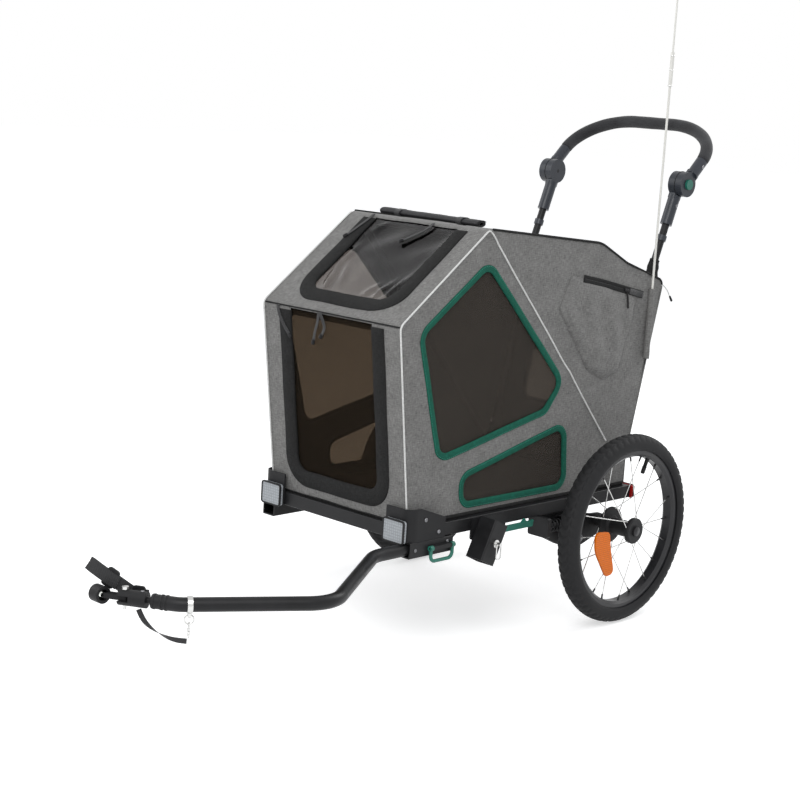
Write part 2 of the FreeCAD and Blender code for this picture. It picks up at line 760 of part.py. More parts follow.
def spokes(name, side):
    """Crossed spokes from both flanges to the rim, each a straight wire."""
    wires = []
    plane = val("track / 2")
    height = val(axle_height)
    rim_radius = val("rim_opening / 2 + spoke_bite")
    lean_angle = val("spoke_lean")
    flanges = ((val("-hub_inner + flange_thick / 2"), val("inner_flange / 2 - spoke_inset")),
               (val("hub_outer - flange_thick * 1.5"), val("outer_flange / 2 - spoke_inset")))
    count = SPOKES_A_SIDE * len(flanges)
    for flange, (offset, hub_radius) in enumerate(flanges):
        for i in range(SPOKES_A_SIDE):
            rim_angle = (2 * i + flange) * 360.0 / count
            lean = lean_angle if i % 2 else -lean_angle
            stagger = val("spoke_stagger") * (1 if i % 2 else -1)
            ends_at = []
            for x, radius, angle in ((offset + stagger, hub_radius, rim_angle + lean),
                                     (offset * val("spoke_splay"), rim_radius, rim_angle)):
                turn = math.radians(angle)
                ends_at.append(FreeCAD.Vector(side * (plane + x), radius * math.cos(turn),
                                              height + radius * math.sin(turn)))
            run = ends_at[1] - ends_at[0]
            wires.append(Part.makeCylinder(val("spoke_diameter") / 2, run.Length, ends_at[0], run))
    keep(f"{name}_spokes", feature(f"{name}_spokes", Part.makeCompound(wires)))


def hub_button(name, side):
    """The round release button in the hub's outer end."""
    body = new_body(f"{name}_hub_button")
    inner = "(track / 2 + hub_outer + button_proud - button_length)"
    outer = "(track / 2 + hub_outer + button_proud)"
    low, high = sided(side, inner, outer)
    bar(body, "x", low, high, ("0", axle_height), "button_diameter - 4 * running_gap")
    keep(f"{name}_hub_button", body)


def spoke_reflector(name, side):
    """A curved reflector that is clipped outside the spokes."""
    body = new_body(f"{name}_spoke_reflector")
    near = "(track / 2 + hub_outer * 0.7)"
    low, high = sided(side, near, f"{near} + reflector_thick")
    turned(body, box_corners(low, high, "reflector_inner", "reflector_outer"), start="reflector_start",
           sweep="reflector_span")
    keep(f"{name}_spoke_reflector", body)


# Tow sockets, tow arm, coupling and hitch

tow_height = f"({rail_bottom} - socket_height / 2)"
socket_front = "-(rail_front + crossbar_depth)"
latch_rear = f"({socket_front} + socket_length - latch_wire)"
latch_front = f"({latch_rear} - latch_span)"
latch_plane = "(rail_centre + socket_width / 2 + part_gap + latch_wire * 0.75)"


def latch_hinge(body):
    """A lug on the socket's outer side with a pin through it, which the latch swings on."""
    room = "(latch_wire * 0.6 + part_gap)"
    prism(body, "y", f"{latch_front} + {room}", f"{latch_rear} - {room}",
          box_corners("rail_centre + socket_width / 2", f"{latch_plane} + latch_pin",
                      f"{tow_height} - latch_pin",
                      f"{tow_height} + latch_pin"))
    bar(body, "y", f"{latch_front} - latch_wire / 2", f"{latch_rear} + latch_wire / 2",
        (latch_plane, tow_height),
        "latch_pin")


def tow_socket(name, side):
    """An open box tube under the front of the rail."""
    body = new_body(f"{name}_tow_socket")
    low, high = f"{side} * rail_centre - socket_width / 2", f"{side} * rail_centre + socket_width / 2"
    bottom = f"{rail_bottom} - socket_height"
    rear = f"{socket_front} + socket_length"
    prism(body, "y", socket_front, rear, box_corners(low, high, bottom, rail_bottom, "socket_wall"))
    inner = box_corners(f"{low} + socket_wall", f"{high} - socket_wall",
                        f"{bottom} + socket_wall", f"{rail_bottom} - socket_wall")
    prism(body, "y", socket_front, rear, inner, adding=False)
    if side > 0:
        latch_hinge(body)
    keep(f"{name}_tow_socket", body)


class Course:
    """A level straight line between two places, for pieces that are strung along it."""

    def __init__(self, x0, y0, x1, y1):
        self.start = (x0, y0)
        self.step = (f"(({x1}) - ({x0}))", f"(({y1}) - ({y0}))")
        self.length = f"sqrt({self.step[0]} ^ 2 + {self.step[1]} ^ 2)"
        self.yaw = f"-atan(({x0} - ({x1})) / (({y0}) - ({y1})))"

    def place(self, along, lift="0", aside="0"):
        x = f"({self.start[0]} + (({along}) * {self.step[0]} - ({aside}) * {self.step[1]}) / {self.length})"
        y = f"({self.start[1]} + (({along}) * {self.step[1]} + ({aside}) * {self.step[0]}) / {self.length})"
        return x, y, f"({tow_height} + ({lift}))"

    def sketch(self, body, along, lift="0"):
        """A sketch square to the line: sideways first, then up."""
        return new_sketch(body, "y", self.place(along, lift), (FreeCAD.Vector(0, 1, 0), self.yaw))

    def side_sketch(self, body, along, aside):
        """A sketch that lies along the line, some way to its left: ahead first, then up."""
        turn = (FreeCAD.Vector(0, 1, 0), f"270 deg + {self.yaw}")
        return new_sketch(body, "y", self.place(along, "0", aside), turn)

    def rod(self, body, near, far, diameter, adding=True, lift="0"):
        sketch = self.sketch(body, near if adding else far, lift)
        draw_circle(sketch, ("0", "0"), diameter)
        return solid(body, "Pad" if adding else "Pocket", sketch, f"({far}) - ({near})")

    def block(self, body, near, far, corners, adding=True):
        sketch = self.sketch(body, near if adding else far)
        draw(sketch, corners)
        return solid(body, "Pad" if adding else "Pocket", sketch, f"({far}) - ({near})")


long_run = Course("tow_elbow_left", "-tow_elbow_ahead", "tow_end_left", "-tow_end_ahead")
end_run = Course("tow_end_left", "-tow_end_ahead", "hitch_left", "-hitch_ahead")
ball_at = "(tow_end_run - ball_inset)"
coupling_from = "(tow_end_run + coupling_gap)"
coupling_to = f"({coupling_from} + coupling_length)"
fork_pin_at = f"({coupling_to} - fork_depth / 2)"
ring_at = f"({long_run.length} - ring_behind)"


def tow_arm():
    """The bent tow tube: tail, outward bow, elbow and a short turned end."""
    body = new_body("tow_arm")
    tip = end_run.place("tow_end_run")
    corners = [("rail_centre", f"{socket_front} + tow_tail"),
               ("rail_centre", "-tow_bend_ahead", "tow_bend_radius"),
               ("tow_elbow_left", "-tow_elbow_ahead", "tow_bend_radius"),
               ("tow_end_left", "-tow_end_ahead", "tow_end_radius"), (tip[0], tip[1])]
    bent_tube(body, "z", ("0", "0", tow_height), None, corners, "tow_diameter", "tow_diameter - 2 * tow_wall")
    keep("tow_arm", body)


def tow_ring():
    """A clamp band on the tow tube with an eye for the safety strap."""
    body = new_body("tow_ring")
    near, far = f"{ring_at} - ring_width / 2", f"{ring_at} + ring_width / 2"
    long_run.rod(body, near, far, "ring_band")
    half = "ring_width / 2"
    lug = [(f"-{half}", "0"), (f"-{half}", "-ring_eye - ring_width * 0.6", "ring_width * 0.4"),
           (half, "-ring_eye - ring_width * 0.6", "ring_width * 0.4"), (half, "0")]
    long_run.block(body, f"{ring_at} - ring_width / 4", f"{ring_at} + ring_width / 4", lug)
    long_run.rod(body, f"{near} - 1", f"{far} + 1", "tow_diameter", adding=False)
    long_run.rod(body, f"{near} - 1", f"{far} + 1", "ring_width * 0.6", adding=False, lift="-ring_eye")
    return body


def coupling_body():
    """The flexible coupling: a ball in the tow tube's end, a neck, and a forked barrel."""
    body = new_body("coupling_body")
    coupling = end_run
    coupling.rod(body, coupling_from, coupling_to, "coupling_diameter")
    coupling.rod(body, ball_at, f"{coupling_from} + 1", "coupling_neck")
    ball = body.newObject("PartDesign::AdditiveSphere", "ball")
    plane = next(f for f in body.Origin.OriginFeatures if f.Role == "XY_Plane")
    ball.AttachmentSupport = [(plane, "")]
    ball.MapMode = "FlatFace"
    for name, text in zip("xyz", coupling.place(ball_at)):
        ball.setExpression(f"AttachmentOffset.Base.{name}", bound(text))
    ball.setExpression("Radius", bound("tow_diameter / 2 - tow_wall - running_gap"))
    doc.recompute()
    slot = box_corners("-coupling_diameter", "coupling_diameter", "-fork_slot / 2", "fork_slot / 2")
    coupling.block(body, f"{coupling_to} - fork_depth", f"{coupling_to} + 1", slot, adding=False)
    x, y, z = coupling.place(fork_pin_at)
    bar(body, "z", f"{z} - coupling_diameter", f"{z} + coupling_diameter", (x, y), "hitch_pin", adding=False)
    keep("coupling_body", body)


def coupling_pin():
    """The drop pin through the fork, with a round head and a hole for its clip."""
    body = new_body("coupling_pin")
    x, y, z = end_run.place(fork_pin_at)
    top = f"{z} + coupling_diameter / 2 + flange_thick"
    bar(body, "z", f"{z} - coupling_diameter * 0.75", top, (x, y), "hitch_pin")
    bar(body, "z", f"{z} + coupling_diameter / 2 + part_gap", top, (x, y), "hitch_pin * 2")
    keep("coupling_pin", body)


def hitch_cup():
    """The part that stays on the bicycle: an eye for the drop pin, a neck and a cup on the axle."""
    body = new_body("hitch_cup")
    hitch_at = end_run.length
    half = "hitch_neck_width / 2"
    neck = box_corners(f"-{half}", half, "-hitch_neck / 2", "hitch_neck / 2")
    end_run.block(body, fork_pin_at, f"{hitch_at} - cup_diameter * 0.3", neck)
    x, y, z = end_run.place(fork_pin_at)
    bar(body, "z", f"{z} - hitch_neck / 2", f"{z} + hitch_neck / 2", (x, y), "hitch_neck_width")
    bar(body, "z", f"{z} - hitch_neck", f"{z} + hitch_neck", (x, y), "hitch_pin + 2 * running_gap",
        adding=False)
    low, high = "hitch_left - cup_depth / 2", "hitch_left + cup_depth / 2"
    bar(body, "x", low, high, ("-hitch_ahead", tow_height), "cup_diameter")
    bar(body, "x", f"{low} + cup_wall", f"{high} + 1", ("-hitch_ahead", tow_height),
        "nut_diameter", adding=False)
    bar(body, "x", f"{low} - 1", f"{high} + 1", ("-hitch_ahead", tow_height), "nut_bore + 1", adding=False)
    keep("hitch_cup", body)


def axle_nut():
    """A domed chrome nut in the cup, threaded for the bicycle's axle."""
    body = new_body("axle_nut")
    seat = "(hitch_left - cup_depth / 2 + cup_wall)"
    dome = f"({seat} + nut_height)"
    corners = [(seat, "nut_bore / 2"), (seat, "nut_diameter / 2"),
               (f"{seat} + nut_height * 0.55", "nut_diameter / 2"),
               (f"{dome} - nut_height * 0.1", "nut_diameter * 0.3"),
               (dome, "nut_diameter * 0.2"), (dome, "0"),
               (f"{dome} - cup_wall", "0"), (f"{dome} - cup_wall", "nut_bore / 2")]
    turned(body, corners, tow_height, "hitch_ahead")
    keep("axle_nut", body)


def snap_hook():
    """A split ring in the clamp's eye, and the swivel snap hook that hangs from it."""
    x, y, z = (val(text) for text in long_run.place(ring_at, "-ring_eye"))
    ahead = point(*long_run.place(long_run.length)) - point(*long_run.place("0"))
    ahead.normalize()
    aside = ahead.cross(FreeCAD.Vector(0, 0, 1))
    wire = val("ring_wire")
    ring_radius = val("ring_radius")
    eye = FreeCAD.Vector(x, y, z)
    ring_centre = eye - FreeCAD.Vector(0, 0, ring_radius)
    split_ring = Part.makeTorus(ring_radius, wire / 2, ring_centre, aside)
    hook_radius = val("hook_radius")
    top_wire = ring_centre.z - ring_radius + wire + val("part_gap")
    hook_centre = FreeCAD.Vector(x, y, top_wire - hook_radius)
    hook = Part.makeTorus(hook_radius, wire / 2, hook_centre, ahead)
    shank_top = hook_centre - FreeCAD.Vector(0, 0, hook_radius)
    shank = Part.makeCylinder(wire, val("hook_shank"), shank_top, FreeCAD.Vector(0, 0, -1))
    eye_radius = val("hook_eye")
    eye_centre = shank_top - FreeCAD.Vector(0, 0, val("hook_shank") + eye_radius - wire / 2)
    swivel = Part.makeTorus(eye_radius, wire / 2, eye_centre, ahead)
    links = feature("hook_links", Part.makeCompound([split_ring, hook.fuse([shank, swivel])]))
    group("snap_hook", tow_ring(), links)
    return eye_centre - FreeCAD.Vector(0, 0, eye_radius)


def round_route(places, share=0.45):
    """Straight runs joined by tangent arcs, each as large as its two runs allow."""
    edges = []
    last = places[0]
    radii = []
    for i in range(1, len(places) - 1):
        back = places[i - 1] - places[i]
        on = places[i + 1] - places[i]
        trim = share * min(back.Length, on.Length)
        half = back.getAngle(on) / 2
        radius = trim * math.tan(half)
        radii.append(round(radius, 1))
        start = places[i] + back.normalize() * trim
        stop = places[i] + on.normalize() * trim
        middle = (back + on).normalize()
        through = places[i] + middle * (trim / math.cos(half) - radius)
        edges.append(Part.LineSegment(last, start).toShape())
        edges.append(Part.Arc(start, through, stop).toShape())
        last = stop
    edges.append(Part.LineSegment(last, places[-1]).toShape())
    return Part.Wire(edges), radii


def hanging_cord(label, places, diameter):
    """A plain tube along a cord's route."""
    path, radii = round_route(places)
    way = (places[1] - places[0]).normalize()
    ring = Part.Wire(Part.Circle(places[0], way, diameter / 2).toShape())
    tube = path.makePipeShell([ring], True, False)
    wanted = path.Length * math.pi * diameter ** 2 / 4
    print(label, "bend radii", radii, "length", round(path.Length, 1))
    print(label, "volume share", round(tube.Volume / wanted, 4))
    keep(label, feature(label, tube))


# Course of the hanging strap, as (share of the level way, share of the drop)
STRAP_SAG = [(0.0, 0.0), (0.07, 0.32), (0.25, 0.64), (0.5, 0.88), (0.76, 1.0), (0.97, 0.98)]
# Course of the drawcord from the cover's rear corner, as steps outwards, back and down
DRAWCORD_STEPS = [(-4, 2, -8), (-2, 10, -13), (1, 18, -22), (4, 25, -36)]


def safety_strap(hook_end):
    """The narrow strap that hangs between the coupling and the snap hook."""
    under = "-(coupling_diameter / 2 + strap_cord * 0.4)"
    start = point(*end_run.place(f"{coupling_from} + strap_from", under))
    way = hook_end - start
    drop = val("strap_drop")
    places = [start + FreeCAD.Vector(way.x * t, way.y * t, -drop * s) for t, s in STRAP_SAG]
    hanging_cord("safety_strap", places, val("strap_cord"))


def drawcord():
    corner = point("cover_half", "back_top_behind", "back_top_height")
    hanging_cord("drawcord", [corner + FreeCAD.Vector(*step) for step in DRAWCORD_STEPS], val("drawcord"))


def strap_loop():
    """The wide webbing loop that goes round the bicycle's frame, doubled and stiff."""
    body = new_body("strap_loop")
    sketch = end_run.side_sketch(body, coupling_from, "coupling_diameter / 2 + strap_thick + part_gap")
    half = "strap_width / 2"
    draw(sketch, [("strap_back", f"-{half}", "strap_width * 0.2"), ("strap_turn", f"-{half}"),
                  ("strap_reach", f"strap_lift - {half}"), (f"strap_reach - {half}", f"strap_lift + {half}"),
                  (f"strap_back + {half}", half, "strap_width * 0.3")])
    solid(body, "Pad", sketch, "strap_thick")
    keep("strap_loop", body)


def tow_latch():
    """A finger loop that swings on the side of the tow socket and locks the tow arm's tail."""
    body = new_body("tow_latch")
    foot = f"{tow_height} - latch_drop"
    corners = [(latch_front, tow_height), (latch_front, foot, "latch_wire * 1.6"),
               (latch_rear, foot, "latch_wire * 1.6"), (latch_rear, tow_height)]
    bent_tube(body, "x", (latch_plane, "0", "0"), None, corners, "latch_wire")
    for place in (latch_front, latch_rear):
        bar(body, "y", f"{place} - latch_wire * 0.6", f"{place} + latch_wire * 0.6",
            (latch_plane, tow_height), "latch_wire * 1.5")
        bar(body, "y", f"{place} - latch_wire", f"{place} + latch_wire", (latch_plane, tow_height),
            "latch_pin + 2 * running_gap", adding=False)
    keep("tow_latch", body)


# Stroller wheel socket, its pin and bail, and the lock lever

def stem_place(along):
    """A place on the stem socket's axis, which leans forward as it goes down."""
    return (f"{rail_outer} + bracket_plate + stem_socket / 2", f"-(stem_ahead + ({along}) * sin(stem_tilt))",
            f"stem_height - ({along}) * cos(stem_tilt)")


def stem_socket():
    """A plate on the rail's outer face that carries a slanted socket, open below, and the lever's bolt."""
    body = new_body("stem_socket")
    plate = box_corners("-(stem_ahead + stem_socket * 0.6)", "-(lever_ahead - lever_width)",
                        "lever_height - lever_width * 0.8", "rail_top - rail_wall", "lever_width / 2")
    prism(body, "x", rail_outer, f"{rail_outer} + bracket_plate", plate)
    tilt = (FreeCAD.Vector(1, 0, 0), "-stem_tilt")
    half = "stem_socket / 2"
    foot = new_sketch(body, "z", stem_place("stem_length / 2"), tilt)
    draw(foot, box_corners(f"-{half}", half, f"-{half}", half, "stem_wall"))
    solid(body, "Pad", foot, "stem_length")
    top = new_sketch(body, "z", stem_place("-stem_length / 2 + stem_wall * 2"), tilt)
    inner = f"({half} - stem_wall)"
    draw(top, box_corners(f"-{inner}", inner, f"-{inner}", inner))
    solid(body, "Pocket", top, "stem_length")
    x, y, z = stem_place("0")
    bar(body, "x", f"{x} - stem_socket", f"{x} + stem_socket", (y, z), "lynch_diameter + 2 * running_gap",
        adding=False)
    keep("stem_socket", body)


def lynch_pin():
    """The pin through the stem socket, with a round head and a cross hole for its bail."""
    body = new_body("lynch_pin")
    x, y, z = stem_place("0")
    face = f"({x} + stem_socket / 2)"
    bar(body, "x", f"{x} - stem_socket / 2 + stem_wall * 0.2", f"{face} + lynch_head", (y, z),
        "lynch_diameter")
    bar(body, "x", f"{face} + part_gap", f"{face} + lynch_head * 0.3", (y, z), "lynch_head")
    bar(body, "y", f"{y} - lynch_head", f"{y} + lynch_head", (f"{face} + lynch_head * 0.7", z),
        "bail_wire + 2 * running_gap", adding=False)
    keep("lynch_pin", body)


def pin_bail():
    """A wire bail that swings on the pin's head: two straight ends in the cross hole and a bow."""
    body = new_body("pin_bail")
    x, y, z = stem_place("0")
    pivot = f"({x} + stem_socket / 2 + lynch_head * 0.7)"
    half = "(lynch_diameter / 2 + bail_wire)"
    corners = [(f"{y} + lynch_diameter * 0.2", z), (f"{y} + {half}", z, "bail_wire"),
               (f"{y} + {half}", f"{z} - bail_drop", "bail_wire * 2"),
               (f"{y} - {half}", f"{z} - bail_drop", "bail_wire * 2"),
               (f"{y} - {half}", z, "bail_wire"), (f"{y} - lynch_diameter * 0.2", z)]
    bent_tube(body, "x", (pivot, "0", "0"), None, corners, "bail_wire")
    keep("pin_bail", body)


def lock_lever():
    """The flat lever with a thumb prong that locks the fold, on the rail's outer face."""
    body = new_body("lock_lever")
    low = f"{rail_outer} + bracket_plate + part_gap"
    high = f"({low} + lever_thick)"
    front, rear = "-lever_ahead", "(lever_length - lever_ahead)"
    bottom, top = "(lever_height - lever_width / 2)", "(lever_height + lever_width / 2)"
    prong = f"({rear} - lever_length * 0.28)"
    corners = [(f"{front} - lever_width / 2", bottom, "lever_width * 0.4"),
               (rear, bottom, "lever_width * 0.25"),
               (f"{rear} + lever_width * 0.2", f"{top} + lever_width * 0.1"),
               (f"{rear} - lever_width * 0.5", top),
               (f"{prong} + lever_width * 0.6", top), (f"{prong}", f"{top} + lever_width * 0.6"),
               (f"{prong} - lever_width * 0.7", top),
               (f"{front} - lever_width / 2", top, "lever_width * 0.4")]
    prism(body, "x", low, high, corners)
    bar(body, "x", f"{low} - 1", f"{high} + 1", (front, "lever_height"), "lever_pin + 2 * running_gap",
        adding=False)
    keep("lock_lever", body)


def lever_bolt():
    body = new_body("lever_bolt")
    face = f"({rail_outer} + bracket_plate)"
    outer = f"({face} + lever_thick + 2 * part_gap)"
    bar(body, "x", face, outer, ("-lever_ahead", "lever_height"), "lever_pin")
    bar(body, "x", outer, f"{outer} + lever_thick * 0.6", ("-lever_ahead", "lever_height"), "lever_pin * 2")
    return body


# Folding cabin frame

leg_inner = "(hoop_half - frame_tube / 2 - part_gap)"
front_leg_inner = "(front_hoop_half - frame_tube / 2 - part_gap)"
bore_size = "hinge_pin + 2 * running_gap"


def hinge_bracket(side, inner, corners):
    """A lug plate on a foot, screwed down on the floor beside a leg."""
    body = new_body("hinge_bracket")
    low, high = sided(side, f"{inner} - hinge_plate", inner)
    prism(body, "x", low, high, corners)
    low, high = sided(side, f"{inner} - hinge_foot", inner)
    foot = box_corners(low, high, corners[0][0], corners[1][0])
    prism(body, "z", floor_top, f"{floor_top} + hinge_plate", foot)
    return body


def hinge_brackets():
    plates = []
    front = "-front_pivot_ahead"
    front_lug = [(f"{front} - hinge_lug", floor_top), (f"{front} + hinge_lug", floor_top),
                 (f"{front} + hinge_lug", "front_pivot_height + hinge_lug", "hinge_lug * 0.8"),
                 (f"{front} - hinge_lug", "front_pivot_height + hinge_lug", "hinge_lug * 0.8")]
    rear_edge = "back_foot_behind - fabric - 1"
    rear_lug = [("main_pivot_behind - hinge_lug", floor_top), (rear_edge, floor_top),
                (rear_edge, "post_pivot_height + hinge_lug", "hinge_lug * 0.8"),
                ("post_pivot_behind - hinge_lug", "post_pivot_height + hinge_lug", "hinge_lug * 0.8"),
                ("main_pivot_behind - hinge_lug", "main_pivot_height + hinge_lug", "hinge_lug * 0.5")]
    pivots = ((front_leg_inner, front_lug, ((front, "front_pivot_height"),)),
              (leg_inner, rear_lug, (("main_pivot_behind", "main_pivot_height"),
                                     ("post_pivot_behind", "post_pivot_height"))))
    pins = []
    for _, side in SIDES:
        for inner, lug, holes in pivots:
            plate = hinge_bracket(side, inner, lug)
            tube_outer = f"({inner} + 2 * part_gap + frame_tube)"
            for hole in holes:
                low, high = sided(side, f"{inner} - hinge_plate", inner)
                bar(plate, "x", f"{low} - 1", f"{high} + 1", hole, "hinge_pin", adding=False)
                pin = new_body("hinge_pin")
                low, high = sided(side, f"{inner} - hinge_plate", f"{tube_outer} + 1")
                bar(pin, "x", low, high, hole, "hinge_pin")
                low, high = sided(side, tube_outer, f"{tube_outer} + hinge_plate / 2")
                bar(pin, "x", low, high, hole, "hinge_pin * 1.8")
                pins.append(pin)
            plates.append(plate)
    group("hinge_brackets", *plates)
    return pins


def hoop(label, half, pivot_y, pivot_z, top_y, top_z):
    """A U-shaped tube that leans forward from its two hinge pins."""
    body = new_body(label)
    rise = f"sqrt((({top_y}) - ({pivot_y})) ^ 2 + (({top_z}) - ({pivot_z})) ^ 2)"
    lean = f"atan((({pivot_y}) - ({top_y})) / (({top_z}) - ({pivot_z})))"
    corners = [(f"-{half}", "-tube_tail"), (f"-{half}", rise, "hoop_radius"), (half, rise, "hoop_radius"),
               (half, "-tube_tail")]
    bent_tube(body, "y", ("0", pivot_y, pivot_z), (FreeCAD.Vector(1, 0, 0), lean), corners, "frame_tube",
              "frame_tube - 2 * frame_wall")
    reach = f"{half} + frame_tube"
    bar(body, "x", f"-({reach})", reach, (pivot_y, pivot_z), bore_size, adding=False)
    keep(label, body)


post_slope = "((post_bend_behind - post_pivot_behind) / (post_bend_height - post_pivot_height))"
post_rise = "sqrt((joint_behind - post_bend_behind) ^ 2 + (joint_height - post_bend_height) ^ 2)"
post_lean = "atan((joint_behind - post_bend_behind) / (joint_height - post_bend_height))"


def along_post(x, along):
    """A place on the upper straight of a rear post, measured from its bend."""
    return (x, f"post_bend_behind + ({along}) * sin({post_lean})",
            f"post_bend_height + ({along}) * cos({post_lean})")


def post_rod(body, x, near, far, diameter, adding=True):
    sketch = new_sketch(body, "z", along_post(x, near if adding else far),
                        (FreeCAD.Vector(1, 0, 0), f"-{post_lean}"))
    draw_circle(sketch, ("0", "0"), diameter)
    return solid(body, "Pad" if adding else "Pocket", sketch, f"({far}) - ({near})")


def rear_posts():
    """Two bent tubes from the rear hinge pins to the handle joints, with a bar under the roof's rear hem."""
    tubes = []
    tip = along_post("0", f"{post_rise} - joint_diameter * 0.55")
    for _, side in SIDES:
        body = new_body("rear_post")
        corners = [(f"post_pivot_behind - tube_tail * {post_slope}", "post_pivot_height - tube_tail"),
                   ("post_bend_behind", "post_bend_height", "post_bend_radius"), (tip[1], tip[2])]
        bent_tube(body, "x", (f"{side} * hoop_half", "0", "0"), None, corners, "frame_tube",
                  "frame_tube - 2 * frame_wall")
        low, high = sided(side, "hoop_half - frame_tube", "hoop_half + frame_tube")
        bar(body, "x", low, high, ("post_pivot_behind", "post_pivot_height"), bore_size, adding=False)
        tubes.append(body)
    beam = new_body("roof_bar")
    behind = f"post_pivot_behind + (roof_bar_height - post_pivot_height) * {post_slope}"
    reach = "hoop_half - frame_tube / 2"
    bar(beam, "x", f"-({reach})", reach, (behind, "roof_bar_height"), "frame_tube * 0.75")
    group("rear_posts", *tubes, beam, *(joint_bolt(s) for _, s in SIDES))


def post_collar(side):
    body = new_body("post_collar")
    low = f"{post_rise} * 0.28"
    high = f"{low} + collar_length"
    post_rod(body, f"{side} * hoop_half", low, high, "collar_diameter")
    post_rod(body, f"{side} * hoop_half", f"{low} - 1", f"{high} + 1", "frame_tube", adding=False)
    return body


joint_split = "(hoop_half + joint_half / 2)"
joint_centre = ("joint_behind", "joint_height")


def lower_joint(side):
    """The fixed half of a handle joint: a sleeve over the post, a neck and a round cheek."""
    body = new_body("lower_joint")
    low, high = sided(side, f"{joint_split} - joint_half", f"{joint_split} - part_gap / 2")
    bar(body, "x", low, high, joint_centre, "joint_diameter")
    x = f"{side} * hoop_half"
    edge = f"({post_rise} - joint_diameter / 2 - 2 * part_gap)"
    neck = new_sketch(body, "z", along_post(f"({low} + {high}) / 2", f"{edge} - joint_sleeve * 0.3"),
                      (FreeCAD.Vector(1, 0, 0), f"-{post_lean}"))
    across = "(joint_half - part_gap / 2) / 2"
    draw(neck, box_corners(f"-{across}", across, "-joint_sleeve * 0.45", "joint_sleeve * 0.45"))
    solid(body, "Pad", neck, "joint_diameter * 0.5")
    post_rod(body, x, f"{edge} - joint_sleeve_length", edge, "joint_sleeve")
    post_rod(body, x, f"{edge} - joint_sleeve_length - 1", f"{post_rise} - joint_diameter * 0.55",
             "frame_tube", adding=False)
    bar(body, "x", f"{low} - 1", f"{high} + 1", joint_centre, "joint_pin", adding=False)
    return body


def joint_bolt(side):
    body = new_body("joint_bolt")
    outer = f"{joint_split} + joint_half - knob_length - knob_travel"
    low, high = sided(side, f"{joint_split} - joint_half", outer)
    bar(body, "x", low, high, joint_centre, "joint_pin")
    return body


def bar_place(x, along):
    """A place on an arm of the push bar, measured from the joint's axis."""
    return x, f"joint_behind + ({along}) * cos(bar_tilt)", f"joint_height + ({along}) * sin(bar_tilt)"


def bar_sketch(body, x, along):
    """A sketch square to the push bar's arm."""
    return new_sketch(body, "z", bar_place(x, along), (FreeCAD.Vector(1, 0, 0), "bar_tilt - 90"))


def upper_joint(side):
    """The turning half of a handle joint: a round cheek with a button recess, a neck and a sleeve."""
    body = new_body("upper_joint")
    inner, outer = f"{joint_split} + part_gap / 2", f"{joint_split} + joint_half"
    low, high = sided(side, inner, outer)
    bar(body, "x", low, high, joint_centre, "joint_diameter")
    edge = "(joint_diameter / 2 + 2 * part_gap)"
    neck = bar_sketch(body, f"({low} + {high}) / 2", f"{edge} - joint_diameter * 0.35")
    across = "(joint_half - part_gap / 2) / 2"
    draw(neck, box_corners(f"-{across}", across, "-joint_sleeve * 0.45", "joint_sleeve * 0.45"))
    solid(body, "Pad", neck, "joint_diameter * 0.5")
    x = f"{side} * bar_half"
    sleeve = bar_sketch(body, x, edge)
    draw_circle(sleeve, ("0", "0"), "joint_sleeve")
    solid(body, "Pad", sleeve, f"bar_sleeve_length - {edge}")
    hole = bar_sketch(body, x, "bar_sleeve_length + 1")
    draw_circle(hole, ("0", "0"), "frame_tube")
    solid(body, "Pocket", hole, f"bar_sleeve_length + 1 - {edge} - joint_sleeve * 0.5")
    bar(body, "x", f"{low} - 1", f"{high} + 1", joint_centre, "joint_pin + 2 * running_gap", adding=False)
    face = f"{joint_split} + joint_half"
    low, high = sided(side, f"{face} - knob_length + knob_proud - knob_travel - part_gap", f"{face} + 1")
    bar(body, "x", low, high, joint_centre, "knob_diameter + 2 * part_gap", adding=False)
    return body


def joint_knob(name, side):
    """The release button on a handle joint's outer face."""
    body = new_body(f"{name}_joint_button")
    face = f"({joint_split} + joint_half + knob_proud)"
    low, high = sided(side, f"{face} - knob_length", face)
    bar(body, "x", low, high, joint_centre, "knob_diameter")
    keep(f"{name}_joint_button", body)


def push_bar():
    """The U-shaped bar between the joints, with foam from one sleeve to the other."""
    turn = (FreeCAD.Vector(1, 0, 0), "bar_tilt")
    offset = ("0", "joint_behind", "joint_height")
    for label, start, outside, inside in (
            ("push_bar", "joint_diameter / 2 + 2 * part_gap + joint_sleeve * 0.5", "frame_tube",
             "frame_tube - 2 * frame_wall"),
            ("grip_foam", "bar_sleeve_length + part_gap", "foam_diameter", "frame_tube")):
        body = new_body(label)
        corners = [("-bar_half", start), ("-bar_half", "bar_reach", "bar_radius"),
                   ("bar_half", "bar_reach", "bar_radius"), ("bar_half", start)]
        bent_tube(body, "z", offset, turn, corners, outside, inside)
        keep(label, body)


# Cabin cover, windows, pocket and rolled cover

front_lean = "atan((front_corner_ahead - front_foot_ahead) / (front_corner_height - rail_top))"
front_run = "sqrt((front_corner_ahead - front_foot_ahead) ^ 2 + (front_corner_height - rail_top) ^ 2)"
roof_slope = "atan((peak_height - front_corner_height) / (front_corner_ahead - peak_ahead))"
roof_run = "sqrt((peak_height - front_corner_height) ^ 2 + (front_corner_ahead - peak_ahead) ^ 2)"
back_lean = "atan((back_top_behind - back_low_behind) / (back_top_height - back_low_height))"
ACROSS = FreeCAD.Vector(1, 0, 0)


def outline_cells(name):
    """The corner expressions of an outline that is kept in the sheet."""
    return [(f"{name}_y{i}", f"{name}_z{i}") for i in range(1, len(OUTLINES[name]) + 1)]


